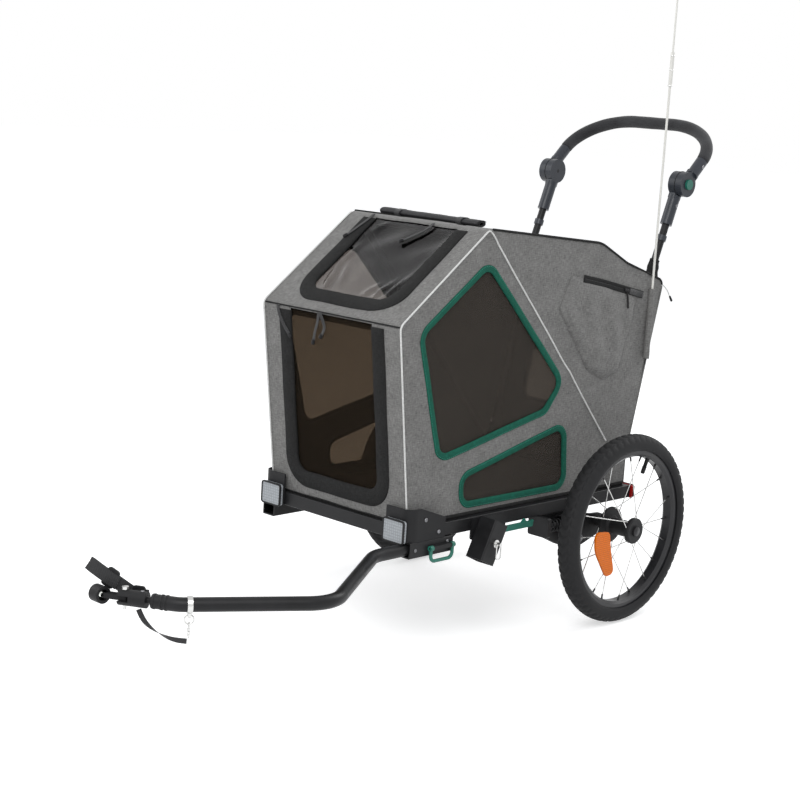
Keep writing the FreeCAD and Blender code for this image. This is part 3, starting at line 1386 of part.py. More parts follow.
def side_window_corners(name, shrink="0"):
    """The window's rounded corners, drawn in towards its middle by a small lap."""
    cells = outline_cells(name)
    middle_y = "(" + " + ".join(y for y, _ in cells) + f") / {len(cells)}"
    middle_z = "(" + " + ".join(z for _, z in cells) + f") / {len(cells)}"
    size = "(window_round * 6)"
    share = f"(1 - ({shrink}) / {size})"
    return [(f"{middle_y} + ({y} - {middle_y}) * {share}", f"{middle_z} + ({z} - {middle_z}) * {share}",
             "lower_window_round" if name == "lower_window" else "window_round") for y, z in cells]


def window_sketch(body, which, lift):
    """A sketch in the plane of the front, roof or back wall: across first, then up the wall."""
    if which == "front":
        base = ("0", f"-front_foot_ahead - ({lift}) * cos({front_lean})",
                f"rail_top - ({lift}) * sin({front_lean})")
        sketch = new_sketch(body, "y", base, (ACROSS, front_lean))
        low, high, half = "front_window_sill", f"{front_run} - front_window_head", "front_window_half"
    elif which == "roof":
        base = ("0", f"-front_corner_ahead - ({lift}) * sin({roof_slope})",
                f"front_corner_height + ({lift}) * cos({roof_slope})")
        sketch = new_sketch(body, "z", base, (ACROSS, roof_slope))
        low, high, half = "roof_window_margin", f"{roof_run} - roof_window_margin", "roof_window_half"
    else:
        base = ("0", f"back_low_behind + ({lift}) * cos({back_lean})",
                f"back_low_height - ({lift}) * sin({back_lean})")
        sketch = new_sketch(body, "y", base, (ACROSS, f"-{back_lean}"))
        low, high, half = "back_window_sill", "back_window_head", "back_window_half"
    return sketch, low, high, half


# Corners of the cover's profile, from its front foot over the roof to its rear foot
COVER_BENDS = [("-front_foot_ahead", "rail_top"), ("-front_corner_ahead", "front_corner_height", "cover_bend"),
               ("-peak_ahead", "peak_height", "cover_bend"), ("-kink_ahead", "kink_height", "cover_bend * 4"),
               ("dip_behind", "dip_height", "cover_bend * 4"),
               ("back_top_behind", "back_top_height", "cover_bend"),
               ("back_low_behind", "back_low_height", "cover_bend"),
               ("back_foot_behind", "back_foot_height", "cover_bend"), ("back_foot_behind", "rail_top")]


def cover_skin():
    """The whole cover: one hollow skin, open below, with its window and post openings."""
    body = new_body("cover_skin")
    block = prism(body, "x", "-cover_half", "cover_half", COVER_BENDS)
    low_z = val("rail_top")
    bottom = next(f"Face{i + 1}" for i, f in enumerate(block.Shape.Faces)
                  if abs(f.BoundBox.ZMax - low_z) < 1e-6)
    skin = body.newObject("PartDesign::Thickness", "skin")
    skin.Base = (block, [bottom])
    skin.setExpression("Value", bound("fabric"))
    skin.Reversed = True
    skin.Join = "Intersection"
    doc.recompute()
    for name in ("side_window", "lower_window"):
        prism(body, "x", "-cover_half - 1", "cover_half + 1", side_window_corners(name), adding=False)
    for which, lift, depth in (("front", "window_round", "window_round + fabric * 3"),
                               ("roof", "window_round", "window_round + fabric * 3"),
                               ("back", "-window_round", "window_round * 1.5")):
        sketch, low, high, half = window_sketch(body, which, lift)
        draw(sketch, box_corners(f"-{half}", half, low, high, "window_round"))
        solid(body, "Pocket", sketch, depth)
    behind = f"post_pivot_behind + (back_top_height - post_pivot_height) * {post_slope}"
    for _, side in SIDES:
        bar(body, "z", "back_top_height - post_hole", "back_top_height + post_hole",
            (f"{side} * hoop_half", behind), "post_hole", adding=False)
    return body.Shape


def cabin_cover():
    """The sewn cover as its panels: two side walls, and the strip between them parted at each bend."""
    skin = cover_skin()
    half = val("cover_half")
    seam = val("cover_half - fabric * 1.5")
    reach = val("cover_bend * 2")
    box = skin.BoundBox
    walls = [Part.makeBox(half - seam + 1, box.YLength + 2, box.ZLength + 2,
                          FreeCAD.Vector(low, box.YMin - 1, box.ZMin - 1)) for low in (seam, -half - 1)]
    panels = [skin.common(wall) for wall in walls]
    bends = [point(str(-seam), *corner[:2]) for corner in COVER_BENDS]
    runs = [(far - near).normalize() for near, far in zip(bends, bends[1:])]
    ways = [near + far for near, far in zip(runs[:1] + runs, runs + runs[-1:])]
    inwards = [ACROSS.cross(way).normalize() * reach for way in ways]
    for i in range(len(runs)):
        wedge = Part.makePolygon([bends[i] - inwards[i], bends[i + 1] - inwards[i + 1],
                                  bends[i + 1] + inwards[i + 1], bends[i] + inwards[i], bends[i] - inwards[i]])
        panels.append(skin.common(Part.Face(wedge).extrude(ACROSS * (2 * seam))))
    keep("cabin_cover", feature("cabin_cover", Part.makeCompound([s for p in panels for s in p.Solids])))


def wall_panel(which):
    """A window panel that fills its opening in a sloping wall."""
    body = new_body(f"{which}_panel")
    lift = {"front": "-fabric", "roof": "-fabric", "back": "-fabric / 2 + panel_thick / 2"}[which]
    sketch, low, high, half = window_sketch(body, which, lift)
    draw(sketch, box_corners(f"-({half} - panel_lap)", f"{half} - panel_lap", f"{low} + panel_lap",
                             f"{high} - panel_lap", "window_round - panel_lap"))
    solid(body, "Pad", sketch, "panel_thick")
    return body


def side_panel(name, side):
    body = new_body("side_panel")
    low, high = sided(side, "cover_half - fabric", "cover_half - fabric + panel_thick")
    prism(body, "x", low, high, side_window_corners(name, "panel_lap * 2"))
    return body


def pouch():
    """The side pocket: a pouch that swells from the cover's left side."""
    body = new_body("side_pocket")
    cells = outline_cells("pocket")
    middle_y = "(" + " + ".join(y for y, _ in cells) + f") / {len(cells)}"
    middle_z = "(" + " + ".join(z for _, z in cells) + f") / {len(cells)}"
    profiles = []
    for out, share in (("0", "1"), ("pocket_deep * 0.6", "0.94"), ("pocket_deep", "0.72")):
        sketch = new_sketch(body, "x", (f"cover_half + {out}", "0", "0"))
        draw(sketch, [(f"{middle_y} + ({y} - {middle_y}) * {share}",
                       f"{middle_z} + ({z} - {middle_z}) * {share}") for y, z in cells])
        profiles.append(sketch)
    doc.recompute()
    loft = body.newObject("PartDesign::AdditiveLoft", "swell")
    loft.Profile = profiles[0]
    loft.Sections = profiles[1:]
    loft.Ruled = True
    doc.recompute()
    keep("side_pocket", body)


def rolled_cover():
    """The rain cover, rolled up behind the peak."""
    body = new_body("rolled_cover")
    behind = "-(peak_ahead - roll_behind)"
    fall = "(peak_height - kink_height) / (peak_ahead - kink_ahead) * roll_behind"
    middle = f"peak_height - {fall} + roll_diameter * 0.54"
    bar(body, "x", "-roll_half", "roll_half", (behind, middle), "roll_diameter")
    keep("rolled_cover", body)


# Flag pole in its sleeve

def flag():
    sleeve = new_body("flag_sleeve")
    centre = ("pole_left", "pole_behind")
    bar(sleeve, "z", "pole_bottom - fabric", "sleeve_top", centre, "sleeve_diameter")
    bar(sleeve, "z", "pole_bottom", "sleeve_top + 1", centre, "pole_diameter + 2 * running_gap", adding=False)
    keep("flag_sleeve", sleeve)
    lower = new_body("lower_pole")
    bar(lower, "z", "pole_bottom", "pole_joint - ferrule_length / 2", centre, "pole_diameter")
    upper = new_body("upper_pole")
    bar(upper, "z", "pole_joint + ferrule_length / 2", "pole_top", centre, "pole_diameter * 0.8")
    ferrule = new_body("ferrule")
    bar(ferrule, "z", "pole_joint - ferrule_length / 2", "pole_joint + ferrule_length / 2", centre,
        "ferrule_diameter")
    group("flag_pole", lower, ferrule, upper)
    pennant = new_body("pennant")
    edge = "pole_behind + pole_diameter * 0.4"
    low, high = "pole_left - pennant_thick / 2", "pole_left + pennant_thick / 2"
    tip = (f"{edge} + pennant_length", "pole_top - pennant_height / 2")
    prism(pennant, "x", low, high, [(edge, "pole_top - pennant_height"), tip, (edge, "pole_top")])
    keep("pennant", pennant)


group("side_rails", *(side_rail(s) for _, s in SIDES))
group("crossbars", crossbar("-(rail_front + crossbar_depth)", "-rail_front", f"{rail_outer} - cover_round"),
      crossbar("rail_rear - crossbar_depth", "rail_rear", rail_inner))
group("corner_covers", *(corner_cover(s) for _, s in SIDES))
floor_panel()
floor_mat()
lens_front = "-(rail_front + crossbar_depth + cover_proud)"
group("front_reflectors", *(reflector("front_reflector", s, f"{lens_front} - lens_thick", lens_front,
                                      "rail_top - rail_height / 4", "rail_centre - lens_width / 2")
                            for _, s in SIDES))
group("rear_reflectors", *(reflector("rear_reflector", s, "rail_rear", "rail_rear + rear_lens_thick",
                                     "rail_top - rail_height / 2", "rail_centre") for _, s in SIDES))
group("suspension_brackets", *(suspension_bracket(s) for _, s in SIDES))
group("pivot_pins", *(pivot_bolt(s) for _, s in SIDES), lever_bolt(), *hinge_brackets())
for side_name, side_sign in SIDES:
    trailing_arm(side_name, side_sign)
    coil_spring(side_name, side_sign)
    tyre(side_name, side_sign)
    rim(side_name, side_sign)
    hub(side_name, side_sign)
    spokes(side_name, side_sign)
    hub_button(side_name, side_sign)
    spoke_reflector(side_name, side_sign)
    tow_socket(side_name, side_sign)
    joint_knob(side_name, side_sign)
tow_arm()
safety_strap(snap_hook())
coupling_body()
coupling_pin()
strap_loop()
hitch_cup()
axle_nut()
tow_latch()
stem_socket()
lynch_pin()
pin_bail()
lock_lever()
hoop("front_hoop", "front_hoop_half", "-front_pivot_ahead", "front_pivot_height", "-front_top_ahead",
     "front_top_height")
hoop("main_hoop", "hoop_half", "main_pivot_behind", "main_pivot_height", "-main_top_ahead", "main_top_height")
rear_posts()
group("lower_joints", *(lower_joint(s) for _, s in SIDES), *(post_collar(s) for _, s in SIDES))
group("upper_joints", *(upper_joint(s) for _, s in SIDES))
push_bar()
cabin_cover()
panels = [side_panel(name, s) for name in ("side_window", "lower_window") for _, s in SIDES]
group("mesh_windows", *panels, wall_panel("front"), wall_panel("back"))
keep("roof_window", wall_panel("roof"))
pouch()
rolled_cover()
drawcord()
flag()

# Check every object, then set the origin under the middle of the whole and write the sub-parts
doc.recompute()
failed = [o.Label for o in doc.Objects if "Invalid" in o.State or "Error" in o.State]
broken = [n for n, o in sub_parts.items() if o.Shape.isNull() or not o.Shape.isValid()]
if failed or broken:
    raise RuntimeError(f"failed features {failed}, broken sub-parts {broken}")
whole = FreeCAD.BoundBox()
for label, sub_part in sub_parts.items():
    if label not in CORDS:
        whole.add(sub_part.Shape.optimalBoundingBox(False))
shift = FreeCAD.Placement(FreeCAD.Vector(-whole.Center.x, -whole.Center.y, -whole.ZMin), FreeCAD.Rotation())
print("whole size", whole, "shift", shift.Base)
os.makedirs("parts", exist_ok=True)
for label, sub_part in sub_parts.items():
    sub_part.Placement = shift
doc.recompute()
for label, sub_part in sub_parts.items():
    sub_part.Shape.exportStep(f"parts/{label}.step")
    print(label, len(sub_part.Shape.Solids), "solids", round(sub_part.Shape.Volume / 1000, 1), "cm3")
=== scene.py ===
import bpy
import numpy as np
from functools import partial
from mathutils import Matrix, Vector
from mathutils.geometry import delaunay_2d_cdt


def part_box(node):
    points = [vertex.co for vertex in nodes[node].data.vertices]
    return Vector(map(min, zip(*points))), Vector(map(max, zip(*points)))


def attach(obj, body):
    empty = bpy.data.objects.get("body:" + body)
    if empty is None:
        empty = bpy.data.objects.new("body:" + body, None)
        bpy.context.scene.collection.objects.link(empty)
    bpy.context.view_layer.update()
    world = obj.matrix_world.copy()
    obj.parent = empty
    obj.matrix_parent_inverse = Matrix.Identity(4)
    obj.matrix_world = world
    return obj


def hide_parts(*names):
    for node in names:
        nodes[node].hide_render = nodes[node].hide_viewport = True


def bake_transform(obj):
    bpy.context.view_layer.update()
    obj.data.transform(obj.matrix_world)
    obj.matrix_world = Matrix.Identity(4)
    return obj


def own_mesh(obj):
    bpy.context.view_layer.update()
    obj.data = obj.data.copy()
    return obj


# Dog bike trailer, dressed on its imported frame. Places below are millimetres from the ground point under the
# middle of the wheel axle: x to the trailer's left, y to its rear, z up. The two tyres give that point.
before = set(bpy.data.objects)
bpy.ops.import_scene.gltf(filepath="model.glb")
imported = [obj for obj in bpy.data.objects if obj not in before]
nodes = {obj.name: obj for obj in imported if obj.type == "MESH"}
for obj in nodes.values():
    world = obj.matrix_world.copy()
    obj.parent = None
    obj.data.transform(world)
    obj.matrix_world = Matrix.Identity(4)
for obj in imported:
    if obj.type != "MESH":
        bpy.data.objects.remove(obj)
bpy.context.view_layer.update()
SIDES = {"left": 1, "right": -1}
tyre_ends = [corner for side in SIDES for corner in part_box(f"{side}_tyre")]
datum = np.array([sum(c.x for c in tyre_ends) / 4, sum(c.y for c in tyre_ends) / 4, tyre_ends[0].z])


def row(places):
    """Layout millimetres to metres in the row frame."""
    return np.asarray(places, float) / 1000 + datum


# Studio: a pale floor, a white surround and three soft lamps. The camera stands where the photograph was
# taken from.
scene = bpy.context.scene
scene.view_settings.view_transform = "Standard"


def node(tree, kind, settings=None, **inputs):
    """A shader node; each input is a value, or a (node, output name) pair to link. In an input's name _
    stands for a space, and i0, i1 and i2 are sockets by number."""
    made = tree.nodes.new(kind)
    for name, value in (settings or {}).items():
        setattr(made, name, value)
    for name, value in inputs.items():
        numbered = name[0] == "i" and name[1:].isdigit()
        socket = made.inputs[int(name[1:]) if numbered else name.replace("_", " ")]
        if isinstance(value, tuple) and isinstance(value[0], bpy.types.Node):
            tree.links.new(value[0].outputs[value[1]], socket)
        else:
            socket.default_value = value
    return made


def reckon(tree, operation, *values):
    """A node that reckons with up to three values or (node, output name) pairs."""
    inputs = {f"i{i}": value for i, value in enumerate(values)}
    return node(tree, "ShaderNodeMath", {"operation": operation}, **inputs)


def seen_directly(tree):
    """1 for camera, glossy and transmission rays, 0 for the rays that light the object."""
    path = node(tree, "ShaderNodeLightPath")
    either = reckon(tree, "MAXIMUM", (path, "Is Camera Ray"), (path, "Is Glossy Ray"))
    return reckon(tree, "MAXIMUM", (either, "Value"), (path, "Is Transmission Ray"))


surround = bpy.data.worlds.new("surround")
scene.world = surround
surround.use_nodes = True
tree = surround.node_tree
light = node(tree, "ShaderNodeBackground", Color=(0.95, 0.97, 1.0, 1), Strength=0.55)
white = node(tree, "ShaderNodeBackground", Color=(1, 1, 1, 1), Strength=1.0)
mixed = node(tree, "ShaderNodeMixShader", i0=(seen_directly(tree), "Value"), i1=(light, "Background"),
             i2=(white, "Background"))
tree.links.new(mixed.outputs[0], tree.nodes["World Output"].inputs["Surface"])

floor_mesh = bpy.data.meshes.new("floor")
floor_mesh.from_pydata([(-20, -20, 0), (20, -20, 0), (20, 20, 0), (-20, 20, 0)], [], [(0, 1, 2, 3)])
floor = bpy.data.objects.new("floor", floor_mesh)
scene.collection.objects.link(floor)
pale = bpy.data.materials.new("pale_floor")
pale.use_nodes = True
tree = pale.node_tree
matt = tree.nodes["Principled BSDF"]
matt.inputs["Base Color"].default_value = (0.78, 0.78, 0.78, 1)
matt.inputs["Roughness"].default_value = 0.9
glow = node(tree, "ShaderNodeEmission", Color=(1, 1, 1, 1), Strength=0.56)
both = node(tree, "ShaderNodeAddShader", i0=(matt, "BSDF"), i1=(glow, "Emission"))
shown = node(tree, "ShaderNodeMixShader", i0=(seen_directly(tree), "Value"), i1=(matt, "BSDF"),
             i2=(both, "Shader"))
tree.links.new(shown.outputs[0], tree.nodes["Material Output"].inputs["Surface"])
floor_mesh.materials.append(pale)

for name, place, aim, size, power in (("key", (1500, -2600, 2700), (0, -300, 400), 2.2, 62),
                                      ("fill", (-2600, -1700, 1900), (0, -300, 500), 2.4, 30),
                                      ("back", (600, 2400, 2600), (0, 0, 500), 2.0, 42)):
    lamp = bpy.data.lights.new(name, "AREA")
    lamp.size = size
    lamp.energy = power
    stand = bpy.data.objects.new(name, lamp)
    back = row(place) - row(aim)
    back /= np.linalg.norm(back)
    across = np.cross((0, 0, 1), back)
    across /= np.linalg.norm(across)
    turn = np.stack([across, np.cross(back, across), back], 1)
    stand.matrix_world = Matrix.LocRotScale(row(place), Matrix(turn.tolist()), None)
    scene.collection.objects.link(stand)

lens = bpy.data.cameras.new("camera")
lens.sensor_width = 36.0
lens.lens = 79.74
camera = bpy.data.objects.new("camera", lens)
# The camera's ways to its right, up and back, and its place, as fitted to the photograph.
turn = np.stack([(0.7149, 0.6966, 0.0609), (-0.1697, 0.0882, 0.9816), (0.6784, -0.7120, 0.1812)], 1)
camera.matrix_world = Matrix.LocRotScale(row((2419.5, -2932.5, 1103.6)), Matrix(turn.tolist()), None)
scene.collection.objects.link(camera)
scene.camera = camera


# Chassis: square steel rails and crossbars, plates and hinge lugs, all with baked satin black paint that is a
# little uneven in its colour and gloss.
def finish(name, **sockets):
    """A material with a Principled shader; sockets are its constants, with _ for a space."""
    made = bpy.data.materials.new(name)
    made.use_nodes = True
    shader = made.node_tree.nodes["Principled BSDF"]
    for socket, value in sockets.items():
        shader.inputs[socket.replace("_", " ")].default_value = value
    return made


def to_shader(material, **links):
    """Links node outputs to the material's own shader."""
    shader = material.node_tree.nodes["Principled BSDF"]
    for socket, (source, output) in links.items():
        material.node_tree.links.new(source.outputs[output], shader.inputs[socket.replace("_", " ")])


def shades(tree, factor, *stops):
    """A colour ramp from stops of (place, colour)."""
    ramp = node(tree, "ShaderNodeValToRGB", Fac=factor)
    bands = ramp.color_ramp.elements
    while len(bands) < len(stops):
        bands.new(0.5)
    for band, (place, colour) in zip(bands, stops):
        band.position = place
        band.color = (*colour, 1)
    return ramp


def noise(tree, place, scale, detail, **more):
    """Noise over a (node, output name) pair of coordinates."""
    return node(tree, "ShaderNodeTexNoise", Vector=place, Scale=scale, Detail=detail, **more)


def bumped(tree, strength, distance, height):
    """A bump of some metres from a (node, output name) pair of heights."""
    return node(tree, "ShaderNodeBump", Strength=strength, Distance=distance, Height=height)


def hard_finish(name, colour, low_rough, high_rough, grain, height, spread=0.25, **sockets):
    """A paint or plastic: slow noise for colour and gloss, fine noise of the grain's size for its surface."""
    made = finish(name, **sockets)
    tree = made.node_tree
    place = (node(tree, "ShaderNodeTexCoord"), "Object")
    slow = noise(tree, place, 18.0, 5.0, Roughness=0.6)
    fine = noise(tree, place, 1.0 / grain, 2.0)
    dark, pale = np.array(colour) * (1 - spread), np.minimum(np.array(colour) * (1 + spread), 1)
    tint = shades(tree, (slow, "Fac"), (0.3, dark), (0.7, pale))
    rough = node(tree, "ShaderNodeMapRange", Value=(slow, "Fac"), From_Min=0.3, From_Max=0.7,
                 To_Min=low_rough, To_Max=high_rough)
    bump = bumped(tree, 0.5, height, (fine, "Fac"))
    to_shader(made, Base_Color=(tint, "Color"), Roughness=(rough, "Result"), Normal=(bump, "Normal"))
    return made


def coat(material, *names):
    """Gives CAD nodes their material, and returns it."""
    for name in names:
        nodes[name].data.materials.clear()
        nodes[name].data.materials.append(material)
    return material


satin_black = hard_finish("satin_black", (0.012, 0.012, 0.013), 0.34, 0.5, 0.0012, 0.00005, 0.35,
                          Specular_IOR_Level=0.22)
coat(satin_black, "side_rails", "crossbars", "suspension_brackets", "hinge_brackets", "left_tow_socket",
     "right_tow_socket", "stem_socket", "left_trailing_arm", "right_trailing_arm", "tow_arm", "front_hoop",
     "main_hoop", "rear_posts", "push_bar")
moulded_black = hard_finish("moulded_black", (0.013, 0.013, 0.014), 0.45, 0.62, 0.0005, 0.00012, 0.2,
                            Specular_IOR_Level=0.22)
coat(moulded_black, "corner_covers", "left_hub", "right_hub", "hitch_cup", "coupling_body", "flag_sleeve")
coat(hard_finish("floor_board", (0.02, 0.02, 0.02), 0.6, 0.8, 0.002, 0.0002, 0.3, Specular_IOR_Level=0.2),
     "floor_panel")
bright_steel = hard_finish("bright_steel", (0.62, 0.62, 0.61), 0.2, 0.34, 0.0006, 0.00003, 0.08, Metallic=1.0)
coat(bright_steel, "pivot_pins", "left_spokes", "right_spokes", "snap_hook", "coupling_pin", "lynch_pin",
     "pin_bail")
coat(hard_finish("polished_nut", (0.78, 0.8, 0.76), 0.06, 0.14, 0.004, 0.00002, 0.05, Metallic=1.0),
     "axle_nut")
coat(hard_finish("green_plastic", (0.012, 0.14, 0.1), 0.36, 0.5, 0.0006, 0.00008, 0.12),
     "tow_latch", "lock_lever", "left_joint_button", "right_joint_button")
coat(hard_finish("blue_grey_plastic", (0.03, 0.034, 0.043), 0.24, 0.36, 0.0007, 0.00005, 0.15,
                 Specular_IOR_Level=0.35), "lower_joints", "upper_joints")
coat(moulded_black, "left_hub_button", "right_hub_button")
dark_rim = hard_finish("dark_rim", (0.016, 0.016, 0.018), 0.28, 0.42, 0.0015, 0.00004, 0.25,
                       Specular_IOR_Level=0.4)
coat(dark_rim, "left_rim", "right_rim")


# Corner covers: caps moulded in black plastic, pushed over the rails' front ends. Each is held by two
# round-headed steel screws in its outer side.
def ring(radius, count=24):
    """A circle as a profile: (radius cos a, radius sin a)."""
    angle = np.linspace(0, 2 * np.pi, count, endpoint=False)
    return np.stack([np.cos(angle), np.sin(angle)], 1) * radius


def piece(name, points, faces, material, body, uv=None, smooth=True):
    """A mesh from layout points and faces, in its place, on its body. uv holds a pair for each point, in
    metres. A body given as (near, far, start, end) attaches the piece to no body: its place is baked into its
    mesh."""
    mesh = bpy.data.meshes.new(name)
    mesh.from_pydata(row(points).tolist(), [], faces)
    if uv is not None:
        layer = mesh.uv_layers.new(name="cloth")
        corner = np.zeros(len(mesh.loops), np.int32)
        mesh.loops.foreach_get("vertex_index", corner)
        layer.data.foreach_set("uv", np.asarray(uv, np.float32)[corner].ravel())
    mesh.polygons.foreach_set("use_smooth", np.full(len(mesh.polygons), smooth))
    mesh.materials.append(material)
    made = bpy.data.objects.new(name, mesh)
    scene.collection.objects.link(made)
    if isinstance(body, str):
        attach(made, body)
    else:
        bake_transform(made)
    return made


def cells(rows, columns, around=False, closed=False, start=0):
    """Quads of a grid of points; around joins the last column to the first, closed does so for rows."""
    index = np.arange(rows * columns).reshape(rows, columns) + start
    if around:
        index = np.hstack([index, index[:, :1]])
    if closed:
        index = np.vstack([index, index[:1]])
    quads = np.stack([index[:-1, :-1], index[1:, :-1], index[1:, 1:], index[:-1, 1:]], -1)
    return quads.reshape(-1, 4).tolist()


def capped(rows, columns, start=0):
    """Quads of a tube's grid, with a face on each end."""
    first = list(range(start, start + columns))
    last = list(range(start + (rows - 1) * columns, start + rows * columns))
    return cells(rows, columns, around=True, start=start) + [first, last[::-1]]


# A way that no turned piece has as its axis.
ASKEW = (0.31, 0.27, 0.91)


def turned(profile, centre, axis, count=24):
    """A profile of (along, radius) turned about an axis: centre + along axis + radius (u cos a + v sin a)."""
    axis = np.asarray(axis, float) / np.linalg.norm(axis)
    u = np.cross(axis, ASKEW)
    u /= np.linalg.norm(u)
    v = np.cross(u, axis)
    along, radius = np.asarray(profile, float).T[..., None, None]
    circle = ring(1.0, count)
    round_way = circle[:, :1] * u + circle[:, 1:] * v
    return (np.asarray(centre, float) + along * axis + radius * round_way).reshape(-1, 3)


def turned_piece(name, spots, profile, axis, material, body, count=24):
    """The same turned shape at several spots, as one mesh."""
    points = np.concatenate([turned(profile, spot, axis, count) for spot in spots])
    size = len(profile) * count
    faces = [face for i in range(len(spots)) for face in capped(len(profile), count, i * size)]
    return piece(name, points, faces, material, body)


screw_steel = hard_finish("screw_steel", (0.2, 0.2, 0.21), 0.25, 0.4, 0.0004, 0.00004, 0.2, Metallic=1.0)
button_head = [(0, 4.4), (0.9, 4.2), (1.9, 3.1), (2.2, 2.0), (2.2, 1.9), (0.9, 1.7), (0.9, 0.2)]
for side, sign in SIDES.items():
    outer = 208.5 * sign
    turned_piece(f"{side}_cover_screws", [(outer, -520, 272), (outer, -482, 244)], button_head, (sign, 0, 0),
                 screw_steel, "chassis")


# Reflectors: clear lenses ahead and red ones behind, each in a thin black frame and moulded with rows of small
# prisms. The prisms' colour is painted lighter in their middles, as a painted highlight, and darker towards
# their edges, as painted shade.
def lens_finish(name, colour, cell):
    """A reflector: cells of a Voronoi pattern as its prisms, with a painted highlight in the middle of each
    and painted shade towards its edges.
    """
    made = finish(name, Roughness=0.3, Specular_IOR_Level=0.15, Coat_Weight=0.08, Coat_Roughness=0.08)
    tree = made.node_tree
    place = (node(tree, "ShaderNodeTexCoord"), "Object")
    prisms = node(tree, "ShaderNodeTexVoronoi", {"distance": "CHEBYCHEV"}, Vector=place, Scale=1.0 / cell,
                  Randomness=0.12)
    colour = np.array(colour)
    # Painted highlight and shade: each prism runs from 1.35 times the lens colour in its middle to 0.45 times
    # at its edges.
    tint = shades(tree, (prisms, "Distance"), (0.05, np.minimum(colour * 1.35, 1)), (0.75, colour * 0.45))
    bump = bumped(tree, 0.8, 0.0008, (prisms, "Distance"))
    to_shader(made, Base_Color=(tint, "Color"), Normal=(bump, "Normal"))
    return made


coat(lens_finish("red_lens", (0.5, 0.012, 0.01), 0.0035), "rear_reflectors")


def rounded(corners, radii, step=4.0, closed=True):
    """An outline with its corners rounded: straight runs and circular arcs, as points about a step apart."""
    corners = np.asarray(corners, float)
    radii = np.broadcast_to(radii, len(corners))
    parts = []
    for i, radius in enumerate(radii):
        before, at, after = corners[i - 1], corners[i], corners[(i + 1) % len(corners)]
        if not closed and i in (0, len(corners) - 1):
            parts.append(at[None])
            continue
        run_back, run_on = np.linalg.norm(before - at), np.linalg.norm(after - at)
        back, on = (before - at) / run_back, (after - at) / run_on
        half = np.arccos(np.clip(back @ on, -1, 1)) / 2
        trim = min(radius / np.tan(half), 0.48 * run_back, 0.48 * run_on)
        radius = trim * np.tan(half)
        middle = at + (back + on) / np.linalg.norm(back + on) * (trim / np.cos(half))
        start, stop = at + back * trim - middle, at + on * trim - middle
        sweep = np.arctan2(start[0] * stop[1] - start[1] * stop[0], start @ stop)
        turn = np.linspace(0, sweep, max(3, int(abs(sweep) * radius / step) + 2))[:, None]
        parts.append(middle + start * np.cos(turn) + np.stack([-start[1], start[0]]) * np.sin(turn))
    line = np.concatenate(parts + ([parts[0][:1]] if closed else []))
    ahead = np.diff(line, axis=0)
    count = np.maximum(1, np.round(np.linalg.norm(ahead, axis=1) / step).astype(int))
    share = np.concatenate([np.arange(n) / n for n in count])[:, None]
    dense = np.repeat(line[:-1], count, 0) + np.repeat(ahead, count, 0) * share
    return dense if closed else np.concatenate([dense, line[-1:]])


def swept(path, profile, up, closed=False):
    """A profile carried along a path: its first column goes along tangent x up, its second upwards."""
    path = np.asarray(path, float)
    ahead = np.roll(path, -1, 0) - np.roll(path, 1, 0) if closed else np.gradient(path, axis=0)
    ahead /= np.linalg.norm(ahead, axis=1, keepdims=True)
    side = np.cross(ahead, np.broadcast_to(np.asarray(up, float), path.shape))
    side /= np.linalg.norm(side, axis=1, keepdims=True)
    lift = np.cross(side, ahead)
    return path[:, None] + profile[..., :1] * side[:, None] + profile[..., 1:] * lift[:, None]


def anticlockwise(outline):
    """The same outline, run anticlockwise."""
    x, y = outline.T
    return outline if (x * np.roll(y, -1) - y * np.roll(x, -1)).sum() > 0 else outline[::-1]


def grown(outline, out):
    """An anticlockwise outline moved outwards by some way along its normals."""
    ahead = np.roll(outline, -1, 0) - np.roll(outline, 1, 0)
    ahead /= np.linalg.norm(ahead, axis=1, keepdims=True)
    return outline + out * np.stack([ahead[:, 1], -ahead[:, 0]], 1)


def plate(outline, place, thick, turn):
    """A moulded plate, as four rings of an outline through a thickness with its edges eased. place makes
    points of flat ones at a depth, and turn is -1 where it mirrors them."""
    line = anticlockwise(outline)
    rings = ((-1.0, 0), (0, 0.8), (0, thick - 0.8), (-1.0, thick))
    return np.concatenate([place(grown(line, out)[::turn], depth) for out, depth in rings])


# Each lens as (inner x, outer x, bottom, top, the face's y), and the depth of a front one.
LENSES = {"front": (147.0, 201.0, 229.0, 273.0, -573.0), "rear": (174.0, 210.0, 230.5, 258.5, 136.0)}
LENS_DEPTH = 9.0
band = np.array([(-1.6, -2.5), (1.2, -2.5), (1.2, 1.2), (-1.6, 1.2)])
for end, facing in (("front", -1), ("rear", 1)):
    inner, outer, bottom, top, face = LENSES[end]
    loops, bodies = [], []
    for sign in SIDES.values():
        left, right = sorted((sign * inner, sign * outer))
        flat = rounded([(left, bottom), (right, bottom), (right, top), (left, top)], 5, 2.0)[::-facing]
        path = np.stack([flat[:, 0], np.full(len(flat), face), flat[:, 1]], 1)
        loops.append(swept(path, band, (0, facing, 0), closed=True).reshape(-1, 3))
        rear = face + LENS_DEPTH
        bodies.append(plate(flat, lambda p, depth: np.insert(p, 1, rear - depth, axis=1), LENS_DEPTH, -1))
    if end == "front":
        faces = [f for i, body in enumerate(bodies) for f in capped(4, len(body) // 4, i * len(body))]
        clear = lens_finish("clear_lens", (0.36, 0.38, 0.4), 0.0055)
        lenses = piece("front_lenses", np.concatenate(bodies), faces, clear, "chassis",
                       smooth=False)
        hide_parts("front_reflectors")
    size = len(loops[0])
    faces = [f for i, loop in enumerate(loops) for f in cells(len(loop) // 4, 4, True, True, i * size)]
    piece(f"{end}_reflector_frames", np.concatenate(loops), faces, moulded_black, "chassis",
          smooth=False)


# Floor mat: a thin quilted pad of black woven cloth over foam, laid on the floor board. Its sides draw in
# between the corners, and sewn channels cross its top.
def threads(tree, place, direction, pitch, **more):
    """Threads a pitch apart, as a wave over a (node, output name) pair of coordinates."""
    return node(tree, "ShaderNodeTexWave", {"bands_direction": direction}, Vector=place, Scale=0.314 / pitch,
                **more)


